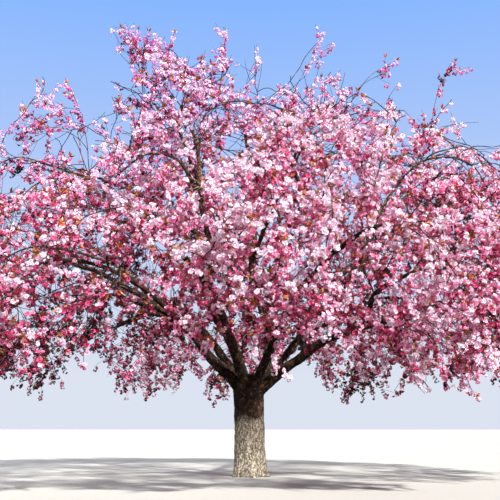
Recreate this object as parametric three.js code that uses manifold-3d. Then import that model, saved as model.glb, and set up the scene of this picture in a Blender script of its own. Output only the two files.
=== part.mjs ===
// Mature double-flowered cherry in full bloom, standing in the ground.
// A short thick trunk forks at head height into spreading boughs, and the boughs carry
// uneven masses of blossom whose outer ends arch over and hang in a skirt.
// Millimetres, +Z up, +X to the right and +Y to the back; the origin is the middle of the
// flat cut under the trunk, at ground level.

import * as THREE from 'three';
import { mergeVertices } from 'three/addons/utils/BufferGeometryUtils.js';
import Module from 'manifold-3d';

const wasm = await Module();
wasm.setup();

// Driving dimensions of the trunk
const TRUNK_HEIGHT = 1650;
const TRUNK_RADIUS = 246;
const FLARE_EXTRA = 52;
const FLARE_HEIGHT = 210;
const FLARE_LOBES = 5;
const FLARE_LOBE_DEPTH = 0.13;
const FLARE_LOBE_TURN = 0.6;
const FORK_SWELL = 30;
const FORK_ROUNDING = 230;
const FORK_NARROWING = 0.42;
const TRUNK_LEAN = [-25, 10];

// Driving dimensions of the crown
const CROWN_HALF_WIDTH = 5650;
const CROWN_HALF_DEPTH = 5150;
const GAP = 0.5;
const RING_REACH_SCATTER = 0.05;
const RING_HEIGHT_SCATTER = 260;
const SWELLINGS = [{ pace: 2.6, depth: 0.12 }, { pace: 4.1, depth: 0.09 }, { pace: 5.7, depth: 0.06 }];

// Fineness of the faceted solids
const TRUNK_SIDES = 10;
const TRUNK_STEPS = 9;
const BOUGH_SIDES = 6;
const LIMB_SIDES = 5;
const STEP_LENGTH = 780;
const FEWEST_STEPS = 4;
const MASS_DETAIL = 2;
const SHOOT_DETAIL = 1;

const BARK = { color: 0x4a3a34, roughness: 0.9, metalness: 0 };
const BLOSSOM_TONES = [0xd9789f, 0xe38fb0, 0xc9658f, 0xeaa2bf];

// Boughs rise from the fork: the way they pass, then their radius at the fork and the end.
const BOUGHS = [
  {
    name: 'bough_leader',
    start: [-60, 0, 1380],
    way: [[-270, -100, 2080], [-700, -300, 2900], [-660, -300, 3450], [-890, -200, 4900],
      [-940, -80, 5650], [-1250, 60, 6500]],
    radii: [104, 20],
  },
  {
    name: 'bough_centre',
    start: [110, 60, 1380],
    way: [[330, 230, 2160], [190, 480, 2950], [40, 620, 3500], [90, 650, 4450], [20, 560, 5500],
      [-120, 430, 6250]],
    radii: [100, 24],
  },
  {
    name: 'bough_low_left',
    start: [-80, -20, 1330],
    way: [[-800, -300, 2080], [-1120, -520, 2450], [-1560, -820, 2560], [-2060, -1120, 2330]],
    radii: [108, 34],
  },
  {
    name: 'bough_low_right',
    start: [90, -20, 1330],
    way: [[800, -200, 1890], [1370, -420, 2230], [2050, -620, 2420], [3150, -800, 2700],
      [3950, -680, 2720]],
    radii: [96, 26],
  },
  {
    name: 'bough_front_left',
    start: [-40, -60, 1400],
    way: [[-420, -900, 2450], [-850, -1800, 3120], [-1450, -2700, 3450], [-1750, -3250, 3420]],
    radii: [80, 30],
  },
  {
    name: 'bough_front_right',
    start: [60, -60, 1400],
    way: [[520, -850, 2420], [1000, -1700, 3080], [1500, -2600, 3400], [1800, -3150, 3400]],
    radii: [80, 30],
  },
  {
    name: 'bough_back_left',
    start: [-60, 90, 1380],
    way: [[-700, 900, 2300], [-1300, 1850, 3000], [-1900, 2800, 3380], [-2150, 3250, 3380]],
    radii: [88, 30],
  },
  {
    name: 'bough_back_right',
    start: [70, 100, 1370],
    way: [[800, 900, 2250], [1350, 1850, 3000], [1850, 2750, 3380], [2050, 3200, 3380]],
    radii: [88, 30],
  },
];

// Limbs leave a bough partway up: its name, the share of its length below the joint, the way.
const LIMBS = [
  {
    name: 'limb_left_side',
    from: ['bough_low_left', 0.5],
    way: [[-1770, -480, 2880], [-2600, -400, 3330], [-3400, -300, 3560], [-4050, -150, 3420]],
    radii: [58, 22],
  },
  {
    name: 'limb_left_front',
    from: ['bough_low_left', 0.56],
    way: [[-1800, -1250, 2980], [-2500, -1800, 3200], [-3350, -2150, 3050]],
    radii: [46, 22],
  },
  {
    name: 'limb_left_arch',
    from: ['bough_leader', 0.66],
    way: [[-1300, -380, 5330], [-1740, -500, 5400], [-2250, -600, 4980]],
    radii: [40, 16],
  },
  {
    name: 'limb_left_high',
    from: ['bough_leader', 0.5],
    way: [[-1650, 0, 4600], [-2500, 180, 5080], [-3350, 260, 5330]],
    radii: [44, 18],
  },
  {
    name: 'limb_left_back',
    from: ['bough_back_left', 0.3],
    way: [[-1700, 1300, 2900], [-2750, 1750, 3300], [-3550, 2050, 3200]],
    radii: [48, 22],
  },
  {
    name: 'limb_right_mid',
    from: ['bough_low_right', 0.24],
    way: [[900, 60, 2440], [1330, 200, 3140], [2060, 380, 3740], [2780, 400, 4300]],
    radii: [72, 28],
  },
  {
    name: 'limb_right_arch',
    from: ['limb_right_mid', 0.66],
    way: [[2440, 330, 4700], [2850, 290, 5280], [3450, 260, 5610], [4080, 300, 5430],
      [4360, 340, 5000]],
    radii: [36, 14],
  },
  {
    name: 'limb_right_high',
    from: ['bough_centre', 0.84],
    way: [[740, 520, 5480], [1080, 500, 6020], [1560, 480, 6400], [2160, 400, 6560]],
    radii: [36, 14],
  },
  {
    name: 'limb_right_front',
    from: ['bough_low_right', 0.5],
    way: [[2000, -1200, 2850], [2750, -1800, 3120], [3400, -2100, 3000]],
    radii: [48, 22],
  },
  {
    name: 'limb_right_back',
    from: ['bough_back_right', 0.32],
    way: [[1700, 1350, 2850], [2700, 1750, 3250], [3450, 2000, 3200]],
    radii: [48, 22],
  },
  {
    name: 'limb_back_high',
    from: ['bough_centre', 0.42],
    way: [[0, 1350, 4150], [-480, 2000, 5000], [-900, 2100, 5500]],
    radii: [50, 20],
  },
  {
    name: 'limb_front_left_high',
    from: ['bough_leader', 0.4],
    way: [[-800, -850, 4500], [-1150, -1550, 5450]],
    radii: [46, 20],
  },
  {
    name: 'limb_front_right_high',
    from: ['bough_centre', 0.5],
    way: [[420, -350, 4500], [800, -1250, 5250]],
    radii: [46, 20],
  },
];

// Masses of blossom that stand round the trunk in a ring: their height and share of the
// crown's reach, the half sizes of each outwards, sideways and upwards, how far they hang
// below their middle, the rise of the ring to the right and the back, and its lift in front,
// where the boughs show under it.
const RINGS = [
  {
    name: 'skirt', count: 12, turn: 0, height: 2820, share: 0.84,
    half: [880, 1200, 1030], hang: 0.35, tilt: [0, 0], lift: 130,
  },
  {
    name: 'shoulder', count: 8, turn: 14, height: 4480, share: 0.66,
    half: [1120, 1330, 830], hang: 0.1, tilt: [150, 200], lift: 0,
  },
];

// Masses that make the top of the crown and its outline: middle and half sizes.
const CROWN_MASSES = [
  { name: 'top_left', at: [-1900, 100, 6950], half: [860, 900, 880] },
  { name: 'top_centre', at: [-330, 200, 6800], half: [800, 950, 820] },
  { name: 'top_right', at: [1080, 300, 6420], half: [820, 950, 760] },
  { name: 'top_far_right', at: [2450, 200, 6080], half: [850, 950, 720] },
  { name: 'top_front_left', at: [-1250, -1600, 5850], half: [1080, 980, 860] },
  { name: 'top_front_right', at: [900, -1550, 5600], half: [1100, 900, 820] },
  { name: 'top_back_left', at: [-1150, 1900, 5930], half: [1180, 1160, 980] },
  { name: 'top_back_right', at: [1150, 2000, 5750], half: [1150, 920, 780] },
  { name: 'high_left', at: [-2700, -100, 5500], half: [850, 950, 680] },
];

// Sprays and shoots that stand out of the crown: middle, half sizes, and lean per unit height.
const SPRAYS = [
  { name: 'spray_left', at: [-3720, 50, 6130], half: [430, 420, 880], lean: [-0.12, 0] },
  { name: 'spray_left_tip', at: [-4380, 150, 5560], half: [420, 420, 430], lean: [0, 0] },
  { name: 'shoot_apex', at: [-2300, 150, 7880], half: [270, 250, 400], lean: [-0.1, 0] },
  { name: 'shoot_centre', at: [-480, 150, 7740], half: [190, 220, 380], lean: [0, 0] },
  { name: 'shoot_right', at: [1180, 420, 7520], half: [130, 170, 720], lean: [0.36, 0.05] },
  { name: 'shoot_twiggy', at: [2560, 220, 7040], half: [200, 200, 460], lean: [0.3, 0] },
  { name: 'shoot_far_right', at: [3560, 260, 6410], half: [170, 200, 1170], lean: [0.22, 0] },
];

// Seeded numbers between 0 and 1, the same on every run.
function seededNumbers(seed) {
  let state = seed * 2654435761 >>> 0;
  return () => {
    state = (state + 0x6d2b79f5) >>> 0;
    let mixed = Math.imul(state ^ (state >>> 15), 1 | state);
    mixed = (mixed + Math.imul(mixed ^ (mixed >>> 7), 61 | mixed)) ^ mixed;
    return ((mixed ^ (mixed >>> 14)) >>> 0) / 4294967296;
  };
}

// A closed surface whose corners are shared between its triangles.
function welded(geometry) {
  geometry.deleteAttribute('normal');
  geometry.deleteAttribute('uv');
  return mergeVertices(geometry, 1e-4);
}

// The same surface with every corner moved outwards, along the middle of its faces' normals.
function grown(geometry, distance) {
  const wider = geometry.clone();
  const position = wider.attributes.position;
  const outwards = Array.from({ length: position.count }, () => new THREE.Vector3());
  const face = new THREE.Triangle();
  const normal = new THREE.Vector3();
  for (let first = 0; first < wider.index.count; first += 3) {
    const points = [0, 1, 2].map((step) => wider.index.getX(first + step));
    face.setFromAttributeAndIndices(position, ...points);
    face.getNormal(normal);
    points.forEach((i) => outwards[i].add(normal));
  }
  outwards.forEach((direction, i) => {
    direction.setLength(distance);
    position.setXYZ(
      i,
      position.getX(i) + direction.x,
      position.getY(i) + direction.y,
      position.getZ(i) + direction.z,
    );
  });
  return wider;
}

function toSolid(geometry) {
  const vertProperties = new Float32Array(geometry.attributes.position.array);
  const triVerts = new Uint32Array(geometry.index.array);
  return new wasm.Manifold(new wasm.Mesh({ numProp: 3, vertProperties, triVerts }));
}

function toGeometry(solid) {
  const mesh = solid.getMesh();
  const geometry = new THREE.BufferGeometry();
  geometry.setAttribute('position', new THREE.BufferAttribute(mesh.vertProperties, 3));
  geometry.setIndex(new THREE.BufferAttribute(mesh.triVerts, 1));
  geometry.computeVertexNormals();
  return geometry;
}

function largestPiece(solid) {
  const pieces = solid.decompose();
  return pieces.reduce((best, piece) => (piece.volume() > best.volume() ? piece : best));
}

// The trunk stands on its flat cut, flares into root lobes and swells again under the fork.
function trunkGeometry() {
  const geometry = welded(
    new THREE.CylinderGeometry(1, 1, TRUNK_HEIGHT, TRUNK_SIDES, TRUNK_STEPS),
  );
  const position = geometry.attributes.position;
  for (let i = 0; i < position.count; i += 1) {
    const height = position.getY(i) + TRUNK_HEIGHT / 2;
    const across = position.getX(i);
    const along = -position.getZ(i);
    const angle = Math.atan2(along, across);
    const flare = Math.exp(-height / FLARE_HEIGHT);
    const underFork = height / TRUNK_HEIGHT;
    const toTop = TRUNK_HEIGHT - height;
    const lobes = 1 + FLARE_LOBE_DEPTH * flare * Math.cos(FLARE_LOBES * angle + FLARE_LOBE_TURN);
    const full = (TRUNK_RADIUS + FLARE_EXTRA * flare + FORK_SWELL * underFork ** 4) * lobes;
    const rounding = Math.max(0, 1 - toTop / FORK_ROUNDING) ** 2;
    const radius = full * (1 - FORK_NARROWING * rounding);
    const x = TRUNK_LEAN[0] * underFork + radius * across;
    const y = TRUNK_LEAN[1] * underFork + radius * along;
    position.setXYZ(i, x, y, height);
  }
  return geometry;
}

// One tapering limb: a tapered rod bent along a smooth curve.
function limbGeometry(curve, radii, sides) {
  const steps = Math.max(FEWEST_STEPS, Math.round(curve.getLength() / STEP_LENGTH));
  const frames = curve.computeFrenetFrames(steps, false);
  const geometry = welded(new THREE.CylinderGeometry(1, 1, steps, sides, steps));
  const position = geometry.attributes.position;
  for (let i = 0; i < position.count; i += 1) {
    const ring = Math.round(position.getY(i) + steps / 2);
    const share = ring / steps;
    const radius = radii[0] + (radii[1] - radii[0]) * share;
    const point = curve.getPointAt(share);
    point.addScaledVector(frames.binormals[ring], radius * position.getX(i));
    point.addScaledVector(frames.normals[ring], radius * position.getZ(i));
    position.setXYZ(i, point.x, point.y, point.z);
  }
  return geometry;
}

// One uneven mass of blossom: a ball with seeded swellings, stretched, leaning or hanging.
function massGeometry({ at, half, lean = [0, 0], hang = 0, facing = 0, detail }, seed) {
  const next = seededNumbers(seed);
  const swellings = SWELLINGS.map(({ pace, depth }) => ({
    pace,
    depth,
    phase: next() * Math.PI * 2,
    axis: new THREE.Vector3(next() - 0.5, next() - 0.5, next() - 0.5).normalize(),
  }));
  const geometry = welded(new THREE.IcosahedronGeometry(1, detail));
  const position = geometry.attributes.position;
  const normal = new THREE.Vector3();
  const point = new THREE.Vector3();
  const upright = new THREE.Vector3(0, 0, 1);
  for (let i = 0; i < position.count; i += 1) {
    normal.fromBufferAttribute(position, i).normalize();
    let swell = 1;
    for (const { pace, depth, phase, axis } of swellings) {
      swell += depth * Math.sin(pace * normal.dot(axis) + phase);
    }
    const stretch = normal.z < 0 ? 1 + hang : 1;
    point.set(half[0] * normal.x, half[1] * normal.y, half[2] * normal.z * stretch);
    point.multiplyScalar(swell);
    point.x += lean[0] * point.z;
    point.y += lean[1] * point.z;
    point.applyAxisAngle(upright, facing);
    position.setXYZ(i, at[0] + point.x, at[1] + point.y, at[2] + point.z);
  }
  return geometry;
}

// The masses of one ring, spaced evenly round the trunk and each a little off its place.
function ringMasses({ name, count, turn, height, share, half, hang, tilt, lift }) {
  const next = seededNumbers(count);
  const masses = [];
  for (let i = 0; i < count; i += 1) {
    const facing = THREE.MathUtils.degToRad(turn + (360 * i) / count);
    const right = Math.cos(facing);
    const back = Math.sin(facing);
    const reach = share * (1 + RING_REACH_SCATTER * (next() - 0.5));
    const lifted = tilt[0] * right + tilt[1] * back + lift * Math.max(0, -back) ** 2;
    const rise = height + lifted + RING_HEIGHT_SCATTER * (next() - 0.5);
    masses.push({
      name: `${name}_${i + 1}`,
      at: [
        reach * CROWN_HALF_WIDTH * right,
        reach * CROWN_HALF_DEPTH * back,
        rise,
      ],
      half,
      hang,
      facing,
      detail: MASS_DETAIL,
    });
  }
  return masses;
}

const tree = new THREE.Group();
const placed = [];

// Adds a piece, cut back from every earlier piece so that a fine gap stays between them.
function place(name, geometry, finish) {
  let solid = toSolid(geometry);
  const box = new THREE.Box3().setFromBufferAttribute(geometry.attributes.position);
  for (const earlier of placed) {
    if (earlier.box.intersectsBox(box)) {
      solid = solid.subtract(earlier.solid);
    }
  }
  const mesh = new THREE.Mesh(toGeometry(largestPiece(solid)), finish);
  mesh.name = name;
  tree.add(mesh);
  placed.push({ solid: toSolid(grown(geometry, GAP)), box });
}

const bark = new THREE.MeshStandardMaterial(BARK);
place('trunk', trunkGeometry(), bark);

const curves = {};
for (const { name, start, way, radii } of BOUGHS) {
  const points = [start, ...way].map((p) => new THREE.Vector3(...p));
  curves[name] = new THREE.CatmullRomCurve3(points, false, 'centripetal');
  place(name, limbGeometry(curves[name], radii, BOUGH_SIDES), bark);
}
for (const { name, from, way, radii } of LIMBS) {
  const [parent, share] = from;
  const joint = curves[parent].getPointAt(share);
  const points = [joint, ...way.map((p) => new THREE.Vector3(...p))];
  curves[name] = new THREE.CatmullRomCurve3(points, false, 'centripetal');
  place(name, limbGeometry(curves[name], radii, LIMB_SIDES), bark);
}

const masses = [
  ...CROWN_MASSES.map((mass) => ({ ...mass, detail: MASS_DETAIL })),
  ...RINGS.flatMap(ringMasses),
  ...SPRAYS.map((spray) => ({ ...spray, detail: SHOOT_DETAIL })),
];
masses.forEach((mass, i) => {
  const tone = BLOSSOM_TONES[i % BLOSSOM_TONES.length];
  const petals = new THREE.MeshStandardMaterial({ color: tone, roughness: 0.8, metalness: 0 });
  place(`blossom_${mass.name}`, massGeometry(mass, i + 1), petals);
});

export default tree;
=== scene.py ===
import math

import bmesh
import bpy
import numpy as np
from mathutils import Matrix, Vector
from mathutils.bvhtree import BVHTree
from mathutils.kdtree import KDTree


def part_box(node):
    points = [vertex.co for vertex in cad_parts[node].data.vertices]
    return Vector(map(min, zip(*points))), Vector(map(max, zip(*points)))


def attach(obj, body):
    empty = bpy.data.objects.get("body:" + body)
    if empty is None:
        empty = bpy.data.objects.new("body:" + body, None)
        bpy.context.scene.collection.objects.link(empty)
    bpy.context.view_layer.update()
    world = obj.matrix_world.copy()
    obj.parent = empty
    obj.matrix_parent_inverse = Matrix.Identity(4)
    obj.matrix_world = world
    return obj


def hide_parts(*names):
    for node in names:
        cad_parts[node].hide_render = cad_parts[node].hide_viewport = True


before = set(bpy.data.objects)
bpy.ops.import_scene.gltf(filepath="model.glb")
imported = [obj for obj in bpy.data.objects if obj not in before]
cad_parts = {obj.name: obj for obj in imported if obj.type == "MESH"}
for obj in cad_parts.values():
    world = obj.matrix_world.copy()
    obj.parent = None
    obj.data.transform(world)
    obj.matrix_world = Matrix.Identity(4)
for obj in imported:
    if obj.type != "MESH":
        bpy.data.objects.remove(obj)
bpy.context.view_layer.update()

SEED = 44

# Camera, floor and light, in metres and degrees
CAMERA_PLACE = (0.0, -13.0, 0.77)
CAMERA_PITCH = 13.1
LENS_MM = 55.1
SENSOR_MM = 36.0
FLOOR_SIZE = 400.0
FLOOR_COLOUR = (0.4, 0.4, 0.38)
FLOOR_BOUNCE_COLOUR = (0.12, 0.12, 0.11)
SKY_HIGH_COLOUR = (0.24, 0.47, 1.0)
SKY_LOW_COLOUR = (0.72, 0.77, 0.88)
SKY_CHANGES = (0.06, 0.52)
SKY_LIGHT_COLOUR = (0.6, 0.68, 1.0)
SKY_LIGHT_STRENGTH = 0.26
KEY_FROM = (0.6, -0.8, 1.0)
BACK_FROM = (-0.5, 1.0, 0.6)
# Each sun: where it comes from, its colour, its strength and how wide it looks
SUNS = {
    "key": (KEY_FROM, (1.0, 0.96, 0.9), 8.9, 3.0),
    "fill": ((-0.3, -1.0, 0.35), (1.0, 0.95, 0.88), 0.35, 8.0),
    "back": (BACK_FROM, (0.95, 0.96, 1.0), 2.8, 30.0),
}
FOOT_LIGHT_PLACE = (-2.6, -5.6, 0.9)
FOOT_LIGHT_AIM = (0.0, 0.0, 0.42)
FOOT_LIGHT_COLOUR = (1.0, 0.95, 0.85)
FOOT_LIGHT_WATTS = 600.0
FOOT_LIGHT_CONE = 13.0

# Trunk, as the solid in the frame has it
TRUNK_HEIGHT = 1.65
TRUNK_RADIUS = 0.246
FLARE_EXTRA = 0.052
FLARE_HEIGHT = 0.21
FLARE_LOBES = 5
FLARE_LOBE_DEPTH = 0.13
FLARE_LOBE_TURN = 0.6
FORK_SWELL = 0.03
FORK_ROUNDING = 0.23
FORK_NARROWING = 0.42
TRUNK_LEAN = (-0.025, 0.01)
TRUNK_RINGS = 60
TRUNK_SIDES = 64

# Ways of the boughs from the fork: start, the points they pass, radius at the fork and the end
BOUGHS = {
    "bough_leader": (
        (-0.06, 0, 1.38),
        [(-0.27, -0.1, 2.08), (-0.7, -0.3, 2.9), (-0.66, -0.3, 3.45), (-0.89, -0.2, 4.9),
         (-0.94, -0.08, 5.65), (-1.25, 0.06, 6.5)],
        (0.104, 0.02)),
    "bough_centre": (
        (0.11, 0.06, 1.38),
        [(0.33, 0.23, 2.16), (0.19, 0.48, 2.95), (0.04, 0.62, 3.5), (0.09, 0.65, 4.45),
         (0.02, 0.56, 5.5), (-0.12, 0.43, 6.25)],
        (0.1, 0.024)),
    "bough_low_left": (
        (-0.08, -0.02, 1.33),
        [(-0.8, -0.3, 2.08), (-1.12, -0.52, 2.45), (-1.56, -0.82, 2.56), (-2.06, -1.12, 2.33)],
        (0.108, 0.034)),
    "bough_low_right": (
        (0.09, -0.02, 1.33),
        [(0.8, -0.2, 1.89), (1.37, -0.42, 2.23), (2.05, -0.62, 2.42), (3.15, -0.8, 2.7),
         (3.95, -0.68, 2.72)],
        (0.096, 0.026)),
    "bough_front_left": (
        (-0.04, -0.06, 1.4),
        [(-0.42, -0.9, 2.45), (-0.85, -1.8, 3.12), (-1.45, -2.7, 3.45), (-1.75, -3.25, 3.42)],
        (0.08, 0.03)),
    "bough_front_right": (
        (0.06, -0.06, 1.4),
        [(0.52, -0.85, 2.42), (1.0, -1.7, 3.08), (1.5, -2.6, 3.4), (1.8, -3.15, 3.4)],
        (0.08, 0.03)),
    "bough_back_left": (
        (-0.06, 0.09, 1.38),
        [(-0.7, 0.9, 2.3), (-1.3, 1.85, 3.0), (-1.9, 2.8, 3.38), (-2.15, 3.25, 3.38)],
        (0.088, 0.03)),
    "bough_back_right": (
        (0.07, 0.1, 1.37),
        [(0.8, 0.9, 2.25), (1.35, 1.85, 3.0), (1.85, 2.75, 3.38), (2.05, 3.2, 3.38)],
        (0.088, 0.03)),
}

# Limbs that leave a bough partway up: the bough, the share of its length below the joint,
# the points they pass, radius at the joint and the end
LIMBS = {
    "limb_left_side": (
        ("bough_low_left", 0.5),
        [(-1.77, -0.48, 2.88), (-2.6, -0.4, 3.33), (-3.4, -0.3, 3.56), (-4.05, -0.15, 3.42)],
        (0.058, 0.022)),
    "limb_left_front": (
        ("bough_low_left", 0.56),
        [(-1.8, -1.25, 2.98), (-2.5, -1.8, 3.2), (-3.35, -2.15, 3.05)],
        (0.046, 0.022)),
    "limb_left_arch": (
        ("bough_leader", 0.66),
        [(-1.3, -0.38, 5.33), (-1.74, -0.5, 5.4), (-2.25, -0.6, 4.98)],
        (0.04, 0.016)),
    "limb_left_high": (
        ("bough_leader", 0.5),
        [(-1.65, 0, 4.6), (-2.5, 0.18, 5.08), (-3.35, 0.26, 5.33)],
        (0.044, 0.018)),
    "limb_left_back": (
        ("bough_back_left", 0.3),
        [(-1.7, 1.3, 2.9), (-2.75, 1.75, 3.3), (-3.55, 2.05, 3.2)],
        (0.048, 0.022)),
    "limb_right_mid": (
        ("bough_low_right", 0.24),
        [(0.9, 0.06, 2.44), (1.33, 0.2, 3.14), (2.06, 0.38, 3.74), (2.78, 0.4, 4.3)],
        (0.072, 0.028)),
    "limb_right_arch": (
        ("limb_right_mid", 0.66),
        [(2.44, 0.33, 4.7), (2.85, 0.29, 5.28), (3.45, 0.26, 5.61), (4.08, 0.3, 5.43),
         (4.36, 0.34, 5.0)],
        (0.036, 0.014)),
    "limb_right_high": (
        ("bough_centre", 0.84),
        [(0.74, 0.52, 5.48), (1.08, 0.5, 6.02), (1.56, 0.48, 6.4), (2.16, 0.4, 6.56)],
        (0.036, 0.014)),
    "limb_right_front": (
        ("bough_low_right", 0.5),
        [(2.0, -1.2, 2.85), (2.75, -1.8, 3.12), (3.4, -2.1, 3.0)],
        (0.048, 0.022)),
    "limb_right_back": (
        ("bough_back_right", 0.32),
        [(1.7, 1.35, 2.85), (2.7, 1.75, 3.25), (3.45, 2.0, 3.2)],
        (0.048, 0.022)),
    "limb_back_high": (
        ("bough_centre", 0.42),
        [(0, 1.35, 4.15), (-0.48, 2.0, 5.0), (-0.9, 2.1, 5.5)],
        (0.05, 0.02)),
    "limb_front_left_high": (
        ("bough_leader", 0.4),
        [(-0.8, -0.85, 4.5), (-1.15, -1.55, 5.45)],
        (0.046, 0.02)),
    "limb_front_right_high": (
        ("bough_centre", 0.5),
        [(0.42, -0.35, 4.5), (0.8, -1.25, 5.25)],
        (0.046, 0.02)),
}

# Limbs that show through the front of the blossom, and the shares of their length that do
SHOWING_LIMBS = {
    "bough_leader": (0.6, 0.9),
    "limb_left_arch": (0.0, 0.85),
    "limb_left_side": (0.3, 0.6),
    "limb_right_arch": (0.2, 0.95),
}

# Branches that arch over the front of the blossom: radius at the foot, the share of the length
# below the blossom, and the points each passes
ARCHES = {
    "left_edge_arch": (0.026, 0.3, [(-2.97, 0.35, 5.23), (-3.68, 0.35, 5.48), (-4.3, 0.35, 5.63),
                                    (-4.8, 0.35, 5.35), (-5.2, 0.4, 4.75)]),
    "left_low_tan": (0.02, 0.3, [(-2.3, -0.8, 4.3), (-2.84, -0.8, 4.34), (-3.47, -0.8, 4.12),
                                  (-4.1, -0.8, 3.69), (-4.6, -0.8, 3.1)]),
    "left_low_arch": (0.03, 0.3, [(-2.08, -1.0, 3.27), (-3.04, -1.0, 3.58), (-3.64, -1.0, 3.58),
                                  (-4.2, -1.1, 3.1), (-4.5, -1.2, 2.5)]),
    "leader_arch_right": (0.014, 0.35, [(-0.97, 0.1, 5.97), (-0.81, 0.1, 6.38), (-0.4, 0.1, 6.6),
                                        (0.07, 0.1, 6.58), (0.4, 0.05, 6.2)]),
    "leader_arch_low": (0.012, 0.35, [(-0.91, -0.1, 5.61), (-0.83, -0.1, 5.91), (-0.4, -0.15, 6.16),
                                      (0.0, -0.2, 5.9)]),
    "gap_spray": (0.007, 0.35, [(-2.33, -0.2, 5.29), (-2.45, -0.2, 5.66), (-2.6, -0.2, 5.98),
                                (-2.81, -0.2, 6.17)]),
    "right_arch_twig": (0.012, 0.3, [(2.35, 0.3, 5.5), (2.88, 0.3, 5.64), (3.4, 0.25, 5.45)]),
    "right_arch_end": (0.012, 0.3, [(3.49, 0.3, 5.68), (3.85, 0.3, 5.5), (4.3, 0.3, 4.9)]),
    "right_over_arch": (0.016, 0.3, [(3.27, 0.15, 5.6), (3.64, 0.15, 5.72), (3.94, 0.15, 5.76),
                                     (4.35, 0.15, 5.41), (4.64, 0.15, 4.9)]),
    "right_high_dark": (0.016, 0.4, [(2.19, -0.6, 5.24), (2.66, -0.6, 5.33), (3.11, -0.6, 5.15)]),
    "right_middle_dark": (0.018, 0.4, [(2.56, -0.9, 4.54), (2.88, -0.9, 4.38), (3.21, -0.9, 4.36),
                                       (3.45, -0.9, 4.28), (3.76, -0.9, 3.96)]),
    "right_low_dark": (0.016, 0.4, [(1.68, -1.6, 3.42), (2.07, -1.6, 3.66), (2.55, -1.6, 3.85)]),
    "left_low_dark": (0.026, 0.4, [(-1.97, -0.9, 3.25), (-2.81, -0.9, 3.04), (-3.55, -0.9, 2.73)]),
    "right_edge_arch": (0.014, 0.25, [(4.0, 0.4, 5.5), (4.6, 0.5, 5.55), (5.05, 0.5, 5.1),
                                      (5.3, 0.5, 4.5)]),
}

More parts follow.
